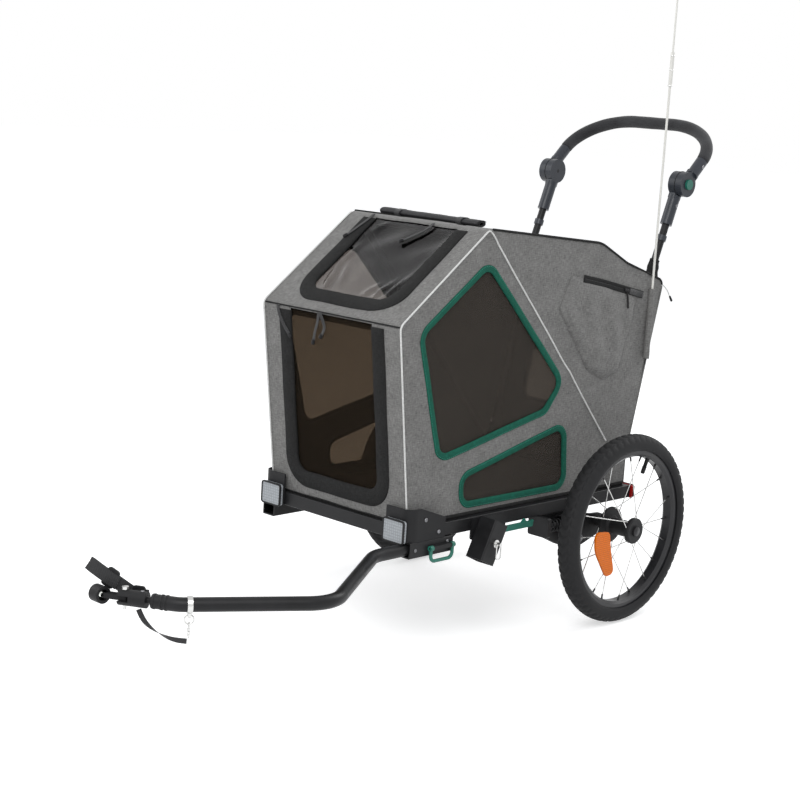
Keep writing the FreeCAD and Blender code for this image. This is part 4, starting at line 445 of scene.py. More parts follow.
def woven(name, dark, pale, pitch, streak, coords="UV", rough=0.85, contrast=(0.38, 0.62), **sockets):
    """A plain weave: two sets of threads a pitch apart as the surface, and streaks along both as colour."""
    made = finish(name, Roughness=rough, **sockets)
    tree = made.node_tree
    place = (node(tree, "ShaderNodeTexCoord"), coords)
    short, long = 1 / streak, 0.16 / streak
    wide = node(tree, "ShaderNodeMapping", Vector=place, Scale=(short, long, long))
    tall = node(tree, "ShaderNodeMapping", Vector=place, Scale=(long, short, short))
    weft = noise(tree, (wide, "Vector"), 1.0, 3.0)
    warp = noise(tree, (tall, "Vector"), 1.0, 3.0)
    slow = noise(tree, place, 26.0, 3.0)
    both = reckon(tree, "ADD", (weft, "Fac"), (warp, "Fac"))
    most = reckon(tree, "MULTIPLY", (both, "Value"), 0.42)
    fleck = reckon(tree, "MULTIPLY_ADD", (slow, "Fac"), 0.16, (most, "Value"))
    tint = shades(tree, (fleck, "Value"), (contrast[0], dark), (contrast[1], pale))
    across = threads(tree, place, "X", pitch, Distortion=0.6)
    along = threads(tree, place, "Y", pitch, Distortion=0.6)
    crossed = reckon(tree, "MULTIPLY", (across, "Fac"), (along, "Fac"))
    bump = bumped(tree, 0.6, 0.00025, (crossed, "Value"))
    to_shader(made, Base_Color=(tint, "Color"), Normal=(bump, "Normal"))
    return made


def layout_box(name):
    """The two corners of a CAD node's box, in layout millimetres."""
    return [(np.array(c) - datum) * 1000 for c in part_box(name)]


mat_cloth = woven("mat_cloth", (0.012, 0.012, 0.013), (0.035, 0.035, 0.037), 0.0016, 0.002, coords="Object")
low, high = layout_box("floor_mat")
middle = (low + high) / 2
half = (high - low) / 2
# A squared ring carried along y, narrower and thinner at both ends, with bell-shaped grooves across its top
# both ways.
way = np.linspace(-0.999, 0.999, 90)[:, None]
turn = np.linspace(0, 2 * np.pi, 72, endpoint=False)[None]
narrow = (1 - np.abs(way) ** 14) ** 0.1 * (1 - 0.02 * np.cos(way * np.pi / 2) ** 2)
deep = (1 - np.abs(way) ** 18) ** 0.5
across = np.sign(np.cos(turn)) * np.abs(np.cos(turn)) ** 0.35
upward = np.sign(np.sin(turn)) * np.abs(np.sin(turn)) ** 0.6
groove = np.exp(-((across * 3) % 1 - 0.5) ** 2 / 0.006) + np.exp(-((way * 5) % 1 - 0.5) ** 2 / 0.003)
lift = upward * deep - np.where(upward > 0, 0.24 * np.minimum(groove, 1), 0)
grid = np.stack(np.broadcast_arrays(narrow * across, way, lift), -1) * half + middle
floor_mat = piece("floor_mat_pad", grid.reshape(-1, 3), capped(*grid.shape[:2]), mat_cloth, "chassis")
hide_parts("floor_mat")


# Suspension: black coil springs between the arms and their brackets, wound of round steel wire with closed
# ends. Each arm has a bolt with a six-sided head on its outside.
def helix(middle, start, stop, radius, turns, count):
    """A coil along y: angle runs evenly, and the pitch closes up over the first and last turn."""
    share = np.linspace(0, 1, count)
    angle = 2 * np.pi * turns * share
    ends = 0.6 / turns
    eased = np.interp(share, [0, ends, 1 - ends, 1], [0, 0.035, 0.965, 1])
    x, z = middle[0] + radius * np.cos(angle), middle[2] + radius * np.sin(angle)
    return np.stack([x, start + (stop - start) * eased, z], 1)


def carried(name, path, profile, up, material, body, uv=None, smooth=True, closed=False):
    """A profile carried along a path as a piece: a closed loop, or a length with a face on each end."""
    points = swept(path, profile, up, closed)
    rows, columns = points.shape[:2]
    faces = cells(rows, columns, True, True) if closed else capped(rows, columns)
    return piece(name, points.reshape(-1, 3), faces, material, body, uv, smooth)


WIRE = 1.5
bolt_head = [(0, 9.5), (3.4, 9.5), (4, 8.9), (4, 0.2)]
for side, sign in SIDES.items():
    low, high = layout_box(f"{side}_spring")
    middle = (low + high) / 2
    path = helix(middle, low[1] + WIRE, high[1] - WIRE, (high[0] - low[0]) / 2 - WIRE, 8, 340)
    seats = [(middle[0], y, middle[2]) for y in (low[1], high[1])]
    spring = carried(f"{side}_coil_spring", path, ring(WIRE, 10), (0, 1, 0), satin_black,
                     ("chassis", f"{side}_arm", *seats))
    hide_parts(f"{side}_spring")
    turned_piece(f"{side}_arm_bolt", [(sign * 223.4, -62, 172)], bolt_head, (sign, 0, 0), screw_steel,
                 "chassis", 6)


# Wheels: air tyres with a blocked tread on dark spoked rims. The tread's blocks stand on the carcass in a
# middle band and two shoulder rows, and thin ribs run round the walls.
rubber = hard_finish("tyre_rubber", (0.016, 0.016, 0.017), 0.62, 0.82, 0.0009, 0.00015, 0.3,
                     Specular_IOR_Level=0.25)
WHEEL_PLANE = 289.0
AXLE_HEIGHT = 200.0
RIM_RADIUS = 155.0
TYRE_MIDDLE = 176.0


def on_wheel(x, radius, turn):
    """A place on a wheel: its x, and a radius at an angle from the rear."""
    return np.array((x, radius * np.cos(turn), AXLE_HEIGHT + radius * np.sin(turn)))


def tyre_grid(plane, count=480, section=64):
    """Section angle a from the tread's middle: about 22.8 sin a to the side, and from the middle circle about
    22.2 cos a outwards or 13.5 cos a inwards. The blocks stand 1.7 higher, and the inside is the same section
    at 0.8 of its size."""
    turn = np.linspace(0, 2 * np.pi, count, endpoint=False)[:, None]
    a = np.linspace(-2.28, 2.28, section)[None]
    off = np.abs(a)
    wide = 22.8 * np.sign(np.sin(a)) * np.abs(np.sin(a)) ** 0.92
    radius = TYRE_MIDDLE + np.where(np.cos(a) > 0, 22.2 * np.abs(np.cos(a)) ** 0.9, 13.5 * np.cos(a))
    middle = np.cos(turn * 64 + 6 * off) > -0.45
    shoulder = np.cos(turn * 64 + np.where(a > 0, 1.5, 4.6) - 1.5 * off) > -0.3
    block = np.where(off < 0.42, middle, shoulder & (off > 0.5)) & (off < 1.06)
    rib = 0.35 * np.exp(-((off - 1.45) / 0.035) ** 2) + 0.3 * np.exp(-((off - 1.85) / 0.03) ** 2)
    radius = radius + 1.7 * block - 0.4 * (off < 1.06)
    wide = wide + np.sign(a) * rib + 0 * turn
    wide = np.hstack([wide, wide[:, ::-1] * 0.8])
    radius = np.hstack([radius, TYRE_MIDDLE + (radius[:, ::-1] - TYRE_MIDDLE) * 0.8])
    return np.stack([plane + wide, radius * np.cos(turn), AXLE_HEIGHT + radius * np.sin(turn)], -1)


nipple_black = hard_finish("nipple_black", (0.025, 0.025, 0.025), 0.3, 0.45, 0.0005, 0.00003, 0.2,
                           Metallic=0.6)
nipple = [(-0.5, 2.4), (2.5, 2.4), (3.2, 1.9), (11, 1.7), (12, 1.2)]
NIPPLE_SIDES = 8
orange_lens = lens_finish("orange_lens", (0.86, 0.16, 0.0), 0.0042)
bow = rounded([(-121, 212), (-119, 172), (-77, 112), (-49, 115), (-66, 169), (-74, 207)],
              [12, 60, 12, 12, 60, 12], 3.0)
BOW_FACE = 307.4
valve_stem = [(0, 5.2), (2, 5.2), (2.6, 4.2), (17, 3.9), (17.2, 4.6), (31, 4.4), (33, 3.4), (33.4, 0.3)]
valve_turn = np.radians(65.0)
valve_way = np.array((0, -np.cos(valve_turn), -np.sin(valve_turn)))
cap = [(0, 11.5), (1.2, 11.5), (1.6, 10.8), (1.6, 8.4), (2.2, 8.0), (2.2, 0.3)]
cap = [(along - 1.4, radius * 0.85) for along, radius in cap]
for side, sign in SIDES.items():
    body = f"{side}_wheel"
    tread = tyre_grid(sign * WHEEL_PLANE)
    faces = cells(*tread.shape[:2], True, True)
    tyre = piece(f"{side}_tread_tyre", tread.reshape(-1, 3), faces, rubber, body)
    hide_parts(f"{side}_tyre")
    spokes = []
    for flange, (offset, hub_radius) in enumerate(((-33.5, 34.0), (25.5, 23.0))):
        for i in range(10):
            rim_turn = np.radians((2 * i + flange) * 18.0)
            hub_turn = rim_turn + np.radians(38.0 if i % 2 else -38.0)
            outer = on_wheel(sign * (WHEEL_PLANE + offset * 0.12), RIM_RADIUS, rim_turn)
            inner = on_wheel(sign * (WHEEL_PLANE + offset), hub_radius, hub_turn)
            spokes.append((outer, (inner - outer) / np.linalg.norm(inner - outer)))
    points = np.concatenate([turned(nipple, outer, way, NIPPLE_SIDES) for outer, way in spokes])
    size = len(nipple) * NIPPLE_SIDES
    faces = [f for i in range(len(spokes)) for f in capped(len(nipple), NIPPLE_SIDES, i * size)]
    piece(f"{side}_spoke_nipples", points, faces, nipple_black, body)
    points = plate(bow, lambda p, depth: np.insert(p, 0, sign * (BOW_FACE + depth), axis=1), 5.0, -sign)
    reflector = piece(f"{side}_bow_reflector", points, capped(4, len(bow)), orange_lens, body,
                      smooth=False)
    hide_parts(f"{side}_spoke_reflector")
    valve_foot = on_wheel(sign * WHEEL_PLANE, RIM_RADIUS, valve_turn)
    turned_piece(f"{side}_valve", [valve_foot], valve_stem, valve_way, moulded_black, body,
                 16)
    turned_piece(f"{side}_hub_cap", [(sign * 326.0, 0, AXLE_HEIGHT)], cap, (sign, 0, 0), dark_rim,
                 f"{side}_hub_button")


# Towing: the bent tube's end carries a flexible coupling and a wide black webbing strap, which is folded
# back on itself, sewn, and held by two plastic slides.
end_way = np.array((-0.8678, -0.4969, 0.0))
end_side = np.array((-0.4969, 0.8678, 0.0))
end_start = np.array((222.0, -1125.0, 215.5))


def on_end(along, aside=0.0, lift=0.0):
    """Places along the tow tube's turned end, some way to its side and up."""
    flat = end_start + np.multiply.outer(along, end_way) + np.multiply.outer(aside, end_side)
    return flat + np.multiply.outer(lift, (0, 0, 1))


def webbing(name, pale):
    """Flat webbing: ribs across its length from u, and a herringbone of two waves in its width. Its colour is
    painted darker where the weave's height is low, as painted shade in the grooves, with noise for the fibres'
    own tone.
    """
    made = finish(name, Roughness=0.72, Sheen_Weight=0.25, Sheen_Roughness=0.4)
    tree = made.node_tree
    place = (node(tree, "ShaderNodeTexCoord"), "UV")
    ribs = threads(tree, place, "X", 0.0014, Distortion=0.3)
    rows = threads(tree, place, "DIAGONAL", 0.0022)
    both = reckon(tree, "MULTIPLY", (ribs, "Fac"), (rows, "Fac"))
    fluff = noise(tree, place, 160.0, 3.0)
    mixed = reckon(tree, "MULTIPLY_ADD", (fluff, "Fac"), 0.5, (both, "Value"))
    # Painted shade: the colour falls to 0.4 of the pale tone in the weave's grooves, and noise adds the
    # fibres' own tone.
    tint = shades(tree, (mixed, "Value"), (0.2, np.array(pale) * 0.4), (0.9, pale))
    bump = bumped(tree, 0.7, 0.0005, (both, "Value"))
    to_shader(made, Base_Color=(tint, "Color"), Normal=(bump, "Normal"))
    return made


def gone_along(line):
    """How far along a line each of its points lies."""
    return np.concatenate([[0], np.cumsum(np.linalg.norm(np.diff(line, axis=0), axis=1))])


def band_uv(path, profile):
    """Lengths along a path and round a profile, in metres, for each point of a swept grid."""
    along, around = gone_along(path) / 1000, gone_along(profile) / 1000
    return np.stack(np.broadcast_arrays(along[:, None], around[None]), -1).reshape(-1, 2)


def smooth_line(places, step=2.0, rounds=3):
    """A line with its corners cut: each round puts points at a quarter and three quarters of every run."""
    line = np.asarray(places, float)
    for _ in range(rounds):
        near, far = line[:-1], line[1:]
        cut = np.stack([near * 0.75 + far * 0.25, near * 0.25 + far * 0.75], 1).reshape(-1, line.shape[1])
        line = np.concatenate([line[:1], cut, line[-1:]])
    length = gone_along(line)
    even = np.linspace(0, length[-1], max(3, int(length[-1] / step) + 1))
    return np.stack([np.interp(even, length, line[:, i]) for i in range(line.shape[1])], 1)


black_web = webbing("black_webbing", (0.03, 0.03, 0.032))
flat_band = np.array([(-12.4, -0.4), (-12.1, -1.1), (12.1, -1.1), (12.4, -0.4), (12.4, 0.4), (12.1, 1.1),
                      (-12.1, 1.1), (-12.4, 0.4)])
# Places of the strap and of its turned-back end, as (along the tube's end, aside, up).
out_route = np.array([(62, 18.9, 0), (84, 18.9, -0.5), (98, 19.1, 6), (122, 19.3, 19), (150, 19.1, 33),
                      (166, 18.6, 43), (172, 17.6, 46)])
back_route = np.array([(172, 17.2, 46), (164, 16.4, 41), (140, 16.6, 27.5), (118, 16.8, 16.5)])
path = smooth_line(on_end(*out_route.T))
turning = ("coupling", "hitch", path[0], path[len(path) // 3])
strap = carried("hitch_webbing", path, flat_band, end_side, black_web, turning,
                band_uv(path, flat_band), smooth=False)
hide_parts("strap_loop")
path = smooth_line(on_end(*back_route.T))
carried("hitch_webbing_fold", path, flat_band * (0.98, 0.9), end_side, black_web, "hitch",
        band_uv(path, flat_band), smooth=False)
slide_bar = np.array([(-2.2, -2.6), (2.2, -2.6), (2.9, 0), (2.2, 2.6), (-2.2, 2.6), (-2.9, 0)])
flat = rounded([(-9, -15), (9, -15), (9, 15), (-9, 15)], 3.0, 2.0)
for i, (along, lift, tilt) in enumerate(((80, -0.5, 0.0), (132, 24.0, 0.48))):
    c, s = np.cos(tilt), np.sin(tilt)
    tilted = flat @ np.array([(c, s), (-s, c)])
    loop = on_end(along + tilted[:, 0], np.full(len(flat), 19.0), lift + tilted[:, 1])
    carried(f"hitch_slide_{i + 1}", loop, slide_bar, end_side, moulded_black, ("coupling", "hitch")[i],
            smooth=False, closed=True)
small_head = [(along * 0.8, radius * 0.8) for along, radius in button_head]
coupling_spots = on_end(np.array((66.0, 98.0)), np.full(2, 0.0), np.full(2, 14.0))
turned_piece("coupling_screws", coupling_spots, small_head, (0, 0, 1), screw_steel, "coupling")
socket_spots = np.array([(209.0, -545, 215.5), (209.0, -456, 222)])
turned_piece("tow_socket_screws", socket_spots, small_head, (1, 0, 0), screw_steel, "chassis")
sleeve_ridge = [(0, 12.6), (0.4, 13.4), (3.6, 13.4), (4, 12.6)]
turned_piece("tow_end_rings", on_end(np.array((20.0, 28.0, 42.0))), sleeve_ridge, end_way, moulded_black,
             "tow_arm")


# Safety strap: a narrow strap of flat black webbing that hangs in a loop from the coupling to the snap hook's
# eye, with half a twist.
def route_curve(name, places):
    """A smooth spline with the route's places as its control points, as the points that are read from it."""
    curve = bpy.data.curves.new(name, "CURVE")
    curve.dimensions = "3D"
    curve.resolution_u = 24
    spline = curve.splines.new("NURBS")
    spline.points.add(len(places) - 1)
    spline.points.foreach_set("co", np.hstack([row(places), np.ones((len(places), 1))]).ravel())
    spline.order_u = 3
    spline.use_endpoint_u = True
    holder = bpy.data.objects.new(name, curve)
    scene.collection.objects.link(holder)
    read = bpy.data.meshes.new_from_object(holder)
    line = np.zeros(len(read.vertices) * 3)
    read.vertices.foreach_get("co", line)
    bpy.data.objects.remove(holder)
    return (line.reshape(-1, 3) - datum) * 1000


strap_places = [(159.5, -1160.8, 197.9), (164.5, -1157.3, 182.9), (177.4, -1148.3, 167.8),
                (195.4, -1135.7, 156.5), (214.0, -1122.7, 150.9), (229.0, -1112.2, 151.8)]
line = route_curve("safety_strap_route", strap_places)
twist = np.linspace(0.3, 0.3 + np.pi, len(line))[:, None]
narrow_band = np.array([(-4.5, -0.5), (4.5, -0.5), (4.5, 0.5), (-4.5, 0.5)])
x, y = narrow_band.T
turned_band = np.stack([x * np.cos(twist) - y * np.sin(twist), x * np.sin(twist) + y * np.cos(twist)], -1)
aside = np.cross((0, 0, 1), line[-1] - line[0])
turning = ("coupling", "tow_arm", line[0], line[-1])
hanging = carried("safety_strap_band", line, turned_band, aside, black_web, turning,
                  band_uv(line, narrow_band), smooth=False)
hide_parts("safety_strap")


# Push bar: a bent steel tube with a charcoal foam grip drawn over it, and blue-grey plastic joints whose
# halves lock in teeth. Rivets hold the sleeves to their tubes.
def foam_finish():
    """Closed-cell foam: small Voronoi cells as pits, and slow noise where hands have pressed it."""
    made = finish("grip_foam", Roughness=0.92, Sheen_Weight=0.15, Sheen_Roughness=0.5)
    tree = made.node_tree
    place = (node(tree, "ShaderNodeTexCoord"), "Object")
    pits = node(tree, "ShaderNodeTexVoronoi", Vector=place, Scale=900.0)
    slow = noise(tree, place, 30.0, 4.0)
    tint = shades(tree, (slow, "Fac"), (0.3, (0.016, 0.016, 0.018)), (0.7, (0.032, 0.033, 0.036)))
    bump = bumped(tree, 0.5, 0.0004, (pits, "Distance"))
    to_shader(made, Base_Color=(tint, "Color"), Normal=(bump, "Normal"))
    return made


bar_rise = np.radians(43.0)
bar_way = np.array((0, np.cos(bar_rise), np.sin(bar_rise)))
bar_up = (0, -np.sin(bar_rise), np.cos(bar_rise))
joint_at = np.array((0, 255.0, 905.0))
# Flat places of the bar, as (across, up its rise): a foot, a quarter of an ellipse, the middle run, and the
# same mirrored.
turn = np.linspace(0, np.pi / 2, 50)
bend = np.stack([50 + 140 * np.cos(turn), 74 + 104 * np.sin(turn)], 1)
across = np.stack([np.linspace(46, -46, 24), np.full(24, 178.0)], 1)
flat = np.concatenate([[(190, 72.6)], bend, across, bend[::-1] * (-1, 1), [(-190, 72.6)]])
bar_path = joint_at + flat[:, :1] * (1, 0, 0) + flat[:, 1:] * bar_way
gone = gone_along(bar_path)
ends = np.minimum(gone, gone[-1] - gone)
grip_radius = 13.5 - 4.6 * np.exp(-ends / 1.6) + 0.35 * np.sin(gone / 31) * np.sin(gone / 13)
grip = ring(1.0, 28)[None] * np.minimum(grip_radius, 13.6)[:, None, None]
foam = carried("push_bar_foam", bar_path, grip, bar_up, foam_finish(), "push_bar")
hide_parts("grip_foam")
tube = carried("push_bar_tube", bar_path, ring(8.0, 20), bar_up, satin_black, "push_bar")
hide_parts("push_bar")

rivet = [(0, 4.0), (0.6, 3.9), (1.4, 3.0), (1.8, 1.6), (1.9, 0.2)]
post_way = np.array((0, 65.0, 170.0)) / np.hypot(65.0, 170.0)
seam = np.array([(-0.7, -0.6), (0.7, -0.6), (0.7, 0.5), (-0.7, 0.5)])
for side, sign in SIDES.items():
    upper = joint_at + bar_way * 56 + (sign * 203.0, 0, 0)
    lower = joint_at - post_way * 50 + (sign * 185.0, 0, 0)
    turned_piece(f"{side}_upper_rivet", [upper], rivet, (sign, 0, 0), screw_steel, "push_bar")
    turned_piece(f"{side}_lower_rivet", [lower], rivet, (sign, 0, 0), screw_steel, "rear_posts")
    hoop = joint_at + np.insert(ring(27.0, 96), 0, sign * 180.5, axis=1)
    carried(f"{side}_joint_seam", hoop, seam, (1, 0, 0), moulded_black, "push_bar",
            smooth=False, closed=True)


# Cabin cover: heather-grey polyester, sewn of two side walls and a long strip that runs up the front, over
# the roof and down the back. It is drawn tight over the hoops, with soft pulls near its corners, and lined
# in black.
grey_cloth = woven("heather_cloth", (0.068, 0.067, 0.064), (0.262, 0.258, 0.25), 0.0012, 0.0018,
                   contrast=(0.33, 0.68), Sheen_Weight=0.08)
lining = woven("black_lining", (0.012, 0.012, 0.012), (0.03, 0.03, 0.03), 0.0011, 0.0012)
# The cover's corners in side view, from the front's foot over the roof to the back's foot, and half its
# width.
EAVE, PEAK, KINK, TAIL, BACK_LOW = (-602, 645), (-370, 820), (-20, 785), (205, 698), (130, 360)
PROFILE = [(-550, 258), EAVE, PEAK, KINK, (71, 741), TAIL, BACK_LOW, (122, 318), (122, 258)]
COVER_HALF = 189.6
STRIP_HALF = 189.4
profile_line = rounded(PROFILE, [0, 16, 26, 90, 90, 18, 60, 30, 0], 3.0, closed=False)
profile_at = gone_along(profile_line)


def on_strip(x, s, lift=0.0):
    """A place on the strip: s along the profile, x across, lift outwards along the profile's normal."""
    y, z = (np.interp(s, profile_at, profile_line[:, i]) for i in (0, 1))
    slope = np.gradient(profile_line, axis=0)
    slope /= np.linalg.norm(slope, axis=1, keepdims=True)
    ty, tz = (np.interp(s, profile_at, slope[:, i]) for i in (0, 1))
    return np.stack(np.broadcast_arrays(x, y - tz * lift, z + ty * lift), -1)


def strip_length(corner):
    """How far along the profile a corner lies."""
    return profile_at[np.argmin(np.linalg.norm(profile_line - corner, axis=1))]


def inside_of(places, loop):
    """Which places lie inside a loop: those from which a level ray crosses it an odd number of times."""
    near, far = loop, np.roll(loop, -1, 0)
    rises = (near[:, 1] > places[:, None, 1]) != (far[:, 1] > places[:, None, 1])
    drop = np.where(far[:, 1] == near[:, 1], 1e-9, far[:, 1] - near[:, 1])
    cross = near[:, 0] + (places[:, None, 1] - near[:, 1]) / drop * (far[:, 0] - near[:, 0])
    return (rises & (places[:, None, 0] < cross)).sum(1) % 2 == 1


def to_edge(places, loop):
    """The distance from each place to the nearest run of a loop."""
    way = np.roll(loop, -1, 0) - loop
    rel = places[:, None] - loop
    share = np.clip((rel * way).sum(-1) / (way ** 2).sum(-1), 0, 1)
    return np.linalg.norm(rel - share[..., None] * way, axis=-1).min(1)


def on_cloth(places, loops):
    """Which places lie inside the first loop and in none of the others."""
    return inside_of(places, loops[0]) & ~np.any([inside_of(places, hole) for hole in loops[1:]], axis=0)


def cut_cloth(outline, holes, pitch):
    """A flat panel as triangles: a lattice of points inside the outline and outside the holes, and edges."""
    loops = [outline, *holes]
    low, high = outline.min(0), outline.max(0)
    rise = pitch * 0.87
    a, b = np.meshgrid(np.arange(low[0], high[0], pitch), np.arange(low[1], high[1], rise), indexing="ij")
    lattice = np.stack([a + (np.round((b - low[1]) / rise) % 2) * pitch / 2, b], -1).reshape(-1, 2)
    keep = on_cloth(lattice, loops)
    for loop in loops:
        keep &= to_edge(lattice, loop) > pitch * 0.45
    edges, start = [], 0
    for loop in loops:
        count = len(loop)
        edges += [(start + j, start + (j + 1) % count) for j in range(count)]
        start += count
    made = delaunay_2d_cdt(np.concatenate(loops + [lattice[keep]]).tolist(), edges, [], 0, 1e-4)
    flat = np.array([tuple(v) for v in made[0]])
    faces = np.array([face for face in made[2] if len(face) == 3])
    faces = faces[on_cloth(flat[faces].mean(1), loops)]
    (ax, ay), (bx, by) = (flat[faces[:, i]].T - flat[faces[:, 0]].T for i in (1, 2))
    faces[ax * by < ay * bx] = faces[ax * by < ay * bx][:, ::-1]
    return flat, faces


def folds_down(made):
    """Gives a cover piece its own copy of its mesh."""
    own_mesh(made)
    return made


def with_lining(made, thick, inner):
    """Gives a sheet its thickness inwards, with a lining as its inner face where there is one."""
    if inner is not None:
        made.data.materials.append(inner)
    wall = made.modifiers.new("thickness", "SOLIDIFY")
    wall.thickness = thick / 1000
    wall.offset = -1
    wall.material_offset = 0 if inner is None else 1
    return made


def cloth_area(made):
    """The cut area of a sheet, in square metres."""
    area = np.zeros(len(made.data.polygons))
    made.data.polygons.foreach_get("area", area)
    return float(area.sum())


SIDE_WINDOW = rounded([(-540, 625), (-367, 748), (-122, 503), (-167, 450), (-472, 385)], 26)
LOWER_WINDOW = rounded([(-402, 335), (-398, 285), (-88, 285), (-102, 407)], 22)
# Soft pulls in the side wall, as (y, z, direction, spacing of folds, length, height).
PULLS = [(-145, 480, 0.5, 9, 90, 1.3), (-480, 400, 0.2, 10, 110, 1.2), (60, 690, -0.5, 12, 110, 2.4),
         (150, 620, -1.2, 14, 120, 2.6), (-300, 265, 0.05, 11, 190, 1.1), (40, 380, -0.8, 12, 80, 1.6),
         (-560, 480, 1.45, 9, 140, 0.9), (-370, 780, 0.7, 9, 70, 1.0)]


def side_lift(y, z):
    """How far the side wall stands out: pulls that fan from the window and seam corners, and slow waves. A
    pull is height exp(-(along / length)^2) sin(aside / size) exp(-(aside / 3 size)^2)."""
    lift = 0.7 * np.sin(y / 47 + 1.3 * np.sin(z / 61)) * np.sin(z / 39 + 0.5)
    for y0, z0, way, size, length, height in PULLS:
        along = (y - y0) * np.cos(way) + (z - z0) * np.sin(way)
        aside = -(y - y0) * np.sin(way) + (z - z0) * np.cos(way)
        fade = np.exp(-(along / length) ** 2) * np.exp(-(aside / (3 * size)) ** 2)
        lift = lift + height * fade * np.sin(aside / size)
    return lift * np.clip((z - 258) / 40, 0, 1)


def on_side(sign, flat, lift=0.0):
    """A place on a side wall, from (y, z) and a height above the cloth."""
    y, z = flat[..., 0], flat[..., 1]
    return np.stack(np.broadcast_arrays(sign * (COVER_HALF + side_lift(y, z) + lift), y, z), -1)


foot = np.arange(118, -548, -4.0)
bottom = np.stack([foot, np.full(len(foot), 258.5)], 1)
side_outline = np.concatenate([profile_line[:-1], bottom])
side_flat, side_faces = cut_cloth(side_outline, [SIDE_WINDOW, LOWER_WINDOW], 7.0)
for side, sign in SIDES.items():
    wall = piece(f"{side}_cover_wall", on_side(sign, side_flat), side_faces[:, ::sign].tolist(), grey_cloth,
                 "chassis", side_flat / 1000)
    cloth_area(wall)
    folds_down(with_lining(wall, 1.4, lining))
    if side == "left":
        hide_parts("cabin_cover")

front_top, roof_top, kink = strip_length(EAVE), strip_length(PEAK), strip_length(KINK)
tail, back_low = strip_length(TAIL), strip_length(BACK_LOW)


def level_outline(half, low, high, radii):
    """A rounded rectangle on the strip, from half its width and its lower and upper edges."""
    return rounded([(-half, low), (half, low), (half, high), (-half, high)], radii)


FRONT_WINDOW = level_outline(114, 52, front_top - 4, [30, 30, 1, 1])
ROOF_WINDOW = level_outline(112, front_top + 54, roof_top - 9, [34, 34, 1, 1])
BACK_WINDOW = level_outline(120, back_low - 300, back_low - 40, 26)


def strip_lift(x, s):
    """How far the strip stands out: it sags between the hoops, and ripples where the roof meets its hem."""
    inner = np.clip((189 - np.abs(x)) / 60, 0, 1)
    sag = 7.0 * np.sin(np.pi * np.clip((s - roof_top) / (kink - roof_top), 0, 1))
    sag = sag + 9.0 * np.sin(np.pi * np.clip((s - kink) / (tail - kink), 0, 1))
    ripple = 1.1 * np.sin(x / 23 + s / 61) * np.sin(s / 37)
    ripple = ripple + 1.6 * np.sin(x / 14) * np.exp(-((s - tail + 30) / 40) ** 2)
    return (ripple - sag) * inner


def on_cover(flat, lift=0.0):
    """A place on the sewn strip, from (x, s) and a height above the cloth."""
    return on_strip(flat[..., 0], flat[..., 1], strip_lift(flat[..., 0], flat[..., 1]) + lift)


ends = profile_at[-1] - 0.5
strip_outline = level_outline(STRIP_HALF, 0.5, ends, 0.5)
strip_flat, strip_faces = cut_cloth(strip_outline, [FRONT_WINDOW, ROOF_WINDOW, BACK_WINDOW], 7.0)
strip = piece("cover_strip", on_cover(strip_flat), strip_faces.tolist(), grey_cloth, "chassis",
              strip_flat / 1000)
cloth_area(strip)
folds_down(with_lining(strip, 1.4, lining))


# Windows: dark mesh sewn into the sides, the front and the back, and clear film in the roof. The mesh looks
# dark from outside, and the windows of the far side show through it in brown.
def gauze(name, tint, pitch, open_share):
    """Window mesh: threads both ways a pitch apart, that let a tinted share of the light straight through."""
    made = finish(name, Roughness=0.02, IOR=1.01, Transmission_Weight=open_share, Specular_IOR_Level=0.0)
    tree = made.node_tree
    place = (node(tree, "ShaderNodeTexCoord"), "UV")
    across, along = threads(tree, place, "X", pitch), threads(tree, place, "Y", pitch)
    both = reckon(tree, "MAXIMUM", (across, "Fac"), (along, "Fac"))
    shade = shades(tree, (both, "Value"), (0.2, np.array(tint) * 1.08), (0.95, np.array(tint) * 0.92))
    to_shader(made, Base_Color=(shade, "Color"))
    return made


side_mesh = gauze("side_mesh", (0.3, 0.27, 0.24), 0.0024, 0.88)
front_mesh = gauze("front_mesh", (0.2, 0.16, 0.12), 0.004, 0.94)
back_mesh = gauze("back_mesh", (0.1, 0.09, 0.08), 0.0024, 0.88)


def pane(name, outline, place, lift, material, pitch, turn=1):
    """A sheet that fills an outline and laps 6 mm under its edge; lift is a function of the flat places."""
    flat, faces = cut_cloth(grown(anticlockwise(outline), 6.0), [], pitch)
    sheet = piece(name, place(flat, lift(flat)), faces[:, ::turn].tolist(), material, "chassis",
                  flat / 1000)
    cloth_area(sheet)
    return folds_down(with_lining(sheet, 0.6, None))


def sunk(flat):
    """Mesh lies a little behind the cloth, with a slow wave in it."""
    return -3.2 + 0.9 * np.sin(flat[:, 0] / 41) * np.sin(flat[:, 1] / 53)


for side, sign in SIDES.items():
    place = partial(on_side, sign)
    wall = f"{side}_cover_wall"
    upper = pane(f"{side}_side_mesh", SIDE_WINDOW, place, sunk, side_mesh, 12.0, sign)
    pane(f"{side}_lower_mesh", LOWER_WINDOW, place, sunk, side_mesh, 12.0, sign)
    if sign > 0:
        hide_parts("mesh_windows")
pane("front_mesh_pane", FRONT_WINDOW, on_cover, sunk, front_mesh, 12.0)
pane("back_mesh_pane", BACK_WINDOW, on_cover, sunk, back_mesh, 12.0)

# Ridges in the film, as (x, s past the eave, lean, half width, half length, height).
RIDGES = [(66, 84, 0.25, 7, 26, 6.5), (92, 96, 0.2, 6, 34, 6.0), (38, 80, 0.4, 8, 20, 4.0),
          (-84, 92, -0.3, 8, 34, 6.0), (-62, 112, -0.5, 7, 30, 3.5), (-96, 170, 0.1, 9, 46, 3.0),
          (-80, 258, 0.6, 7, 16, 4.0)]


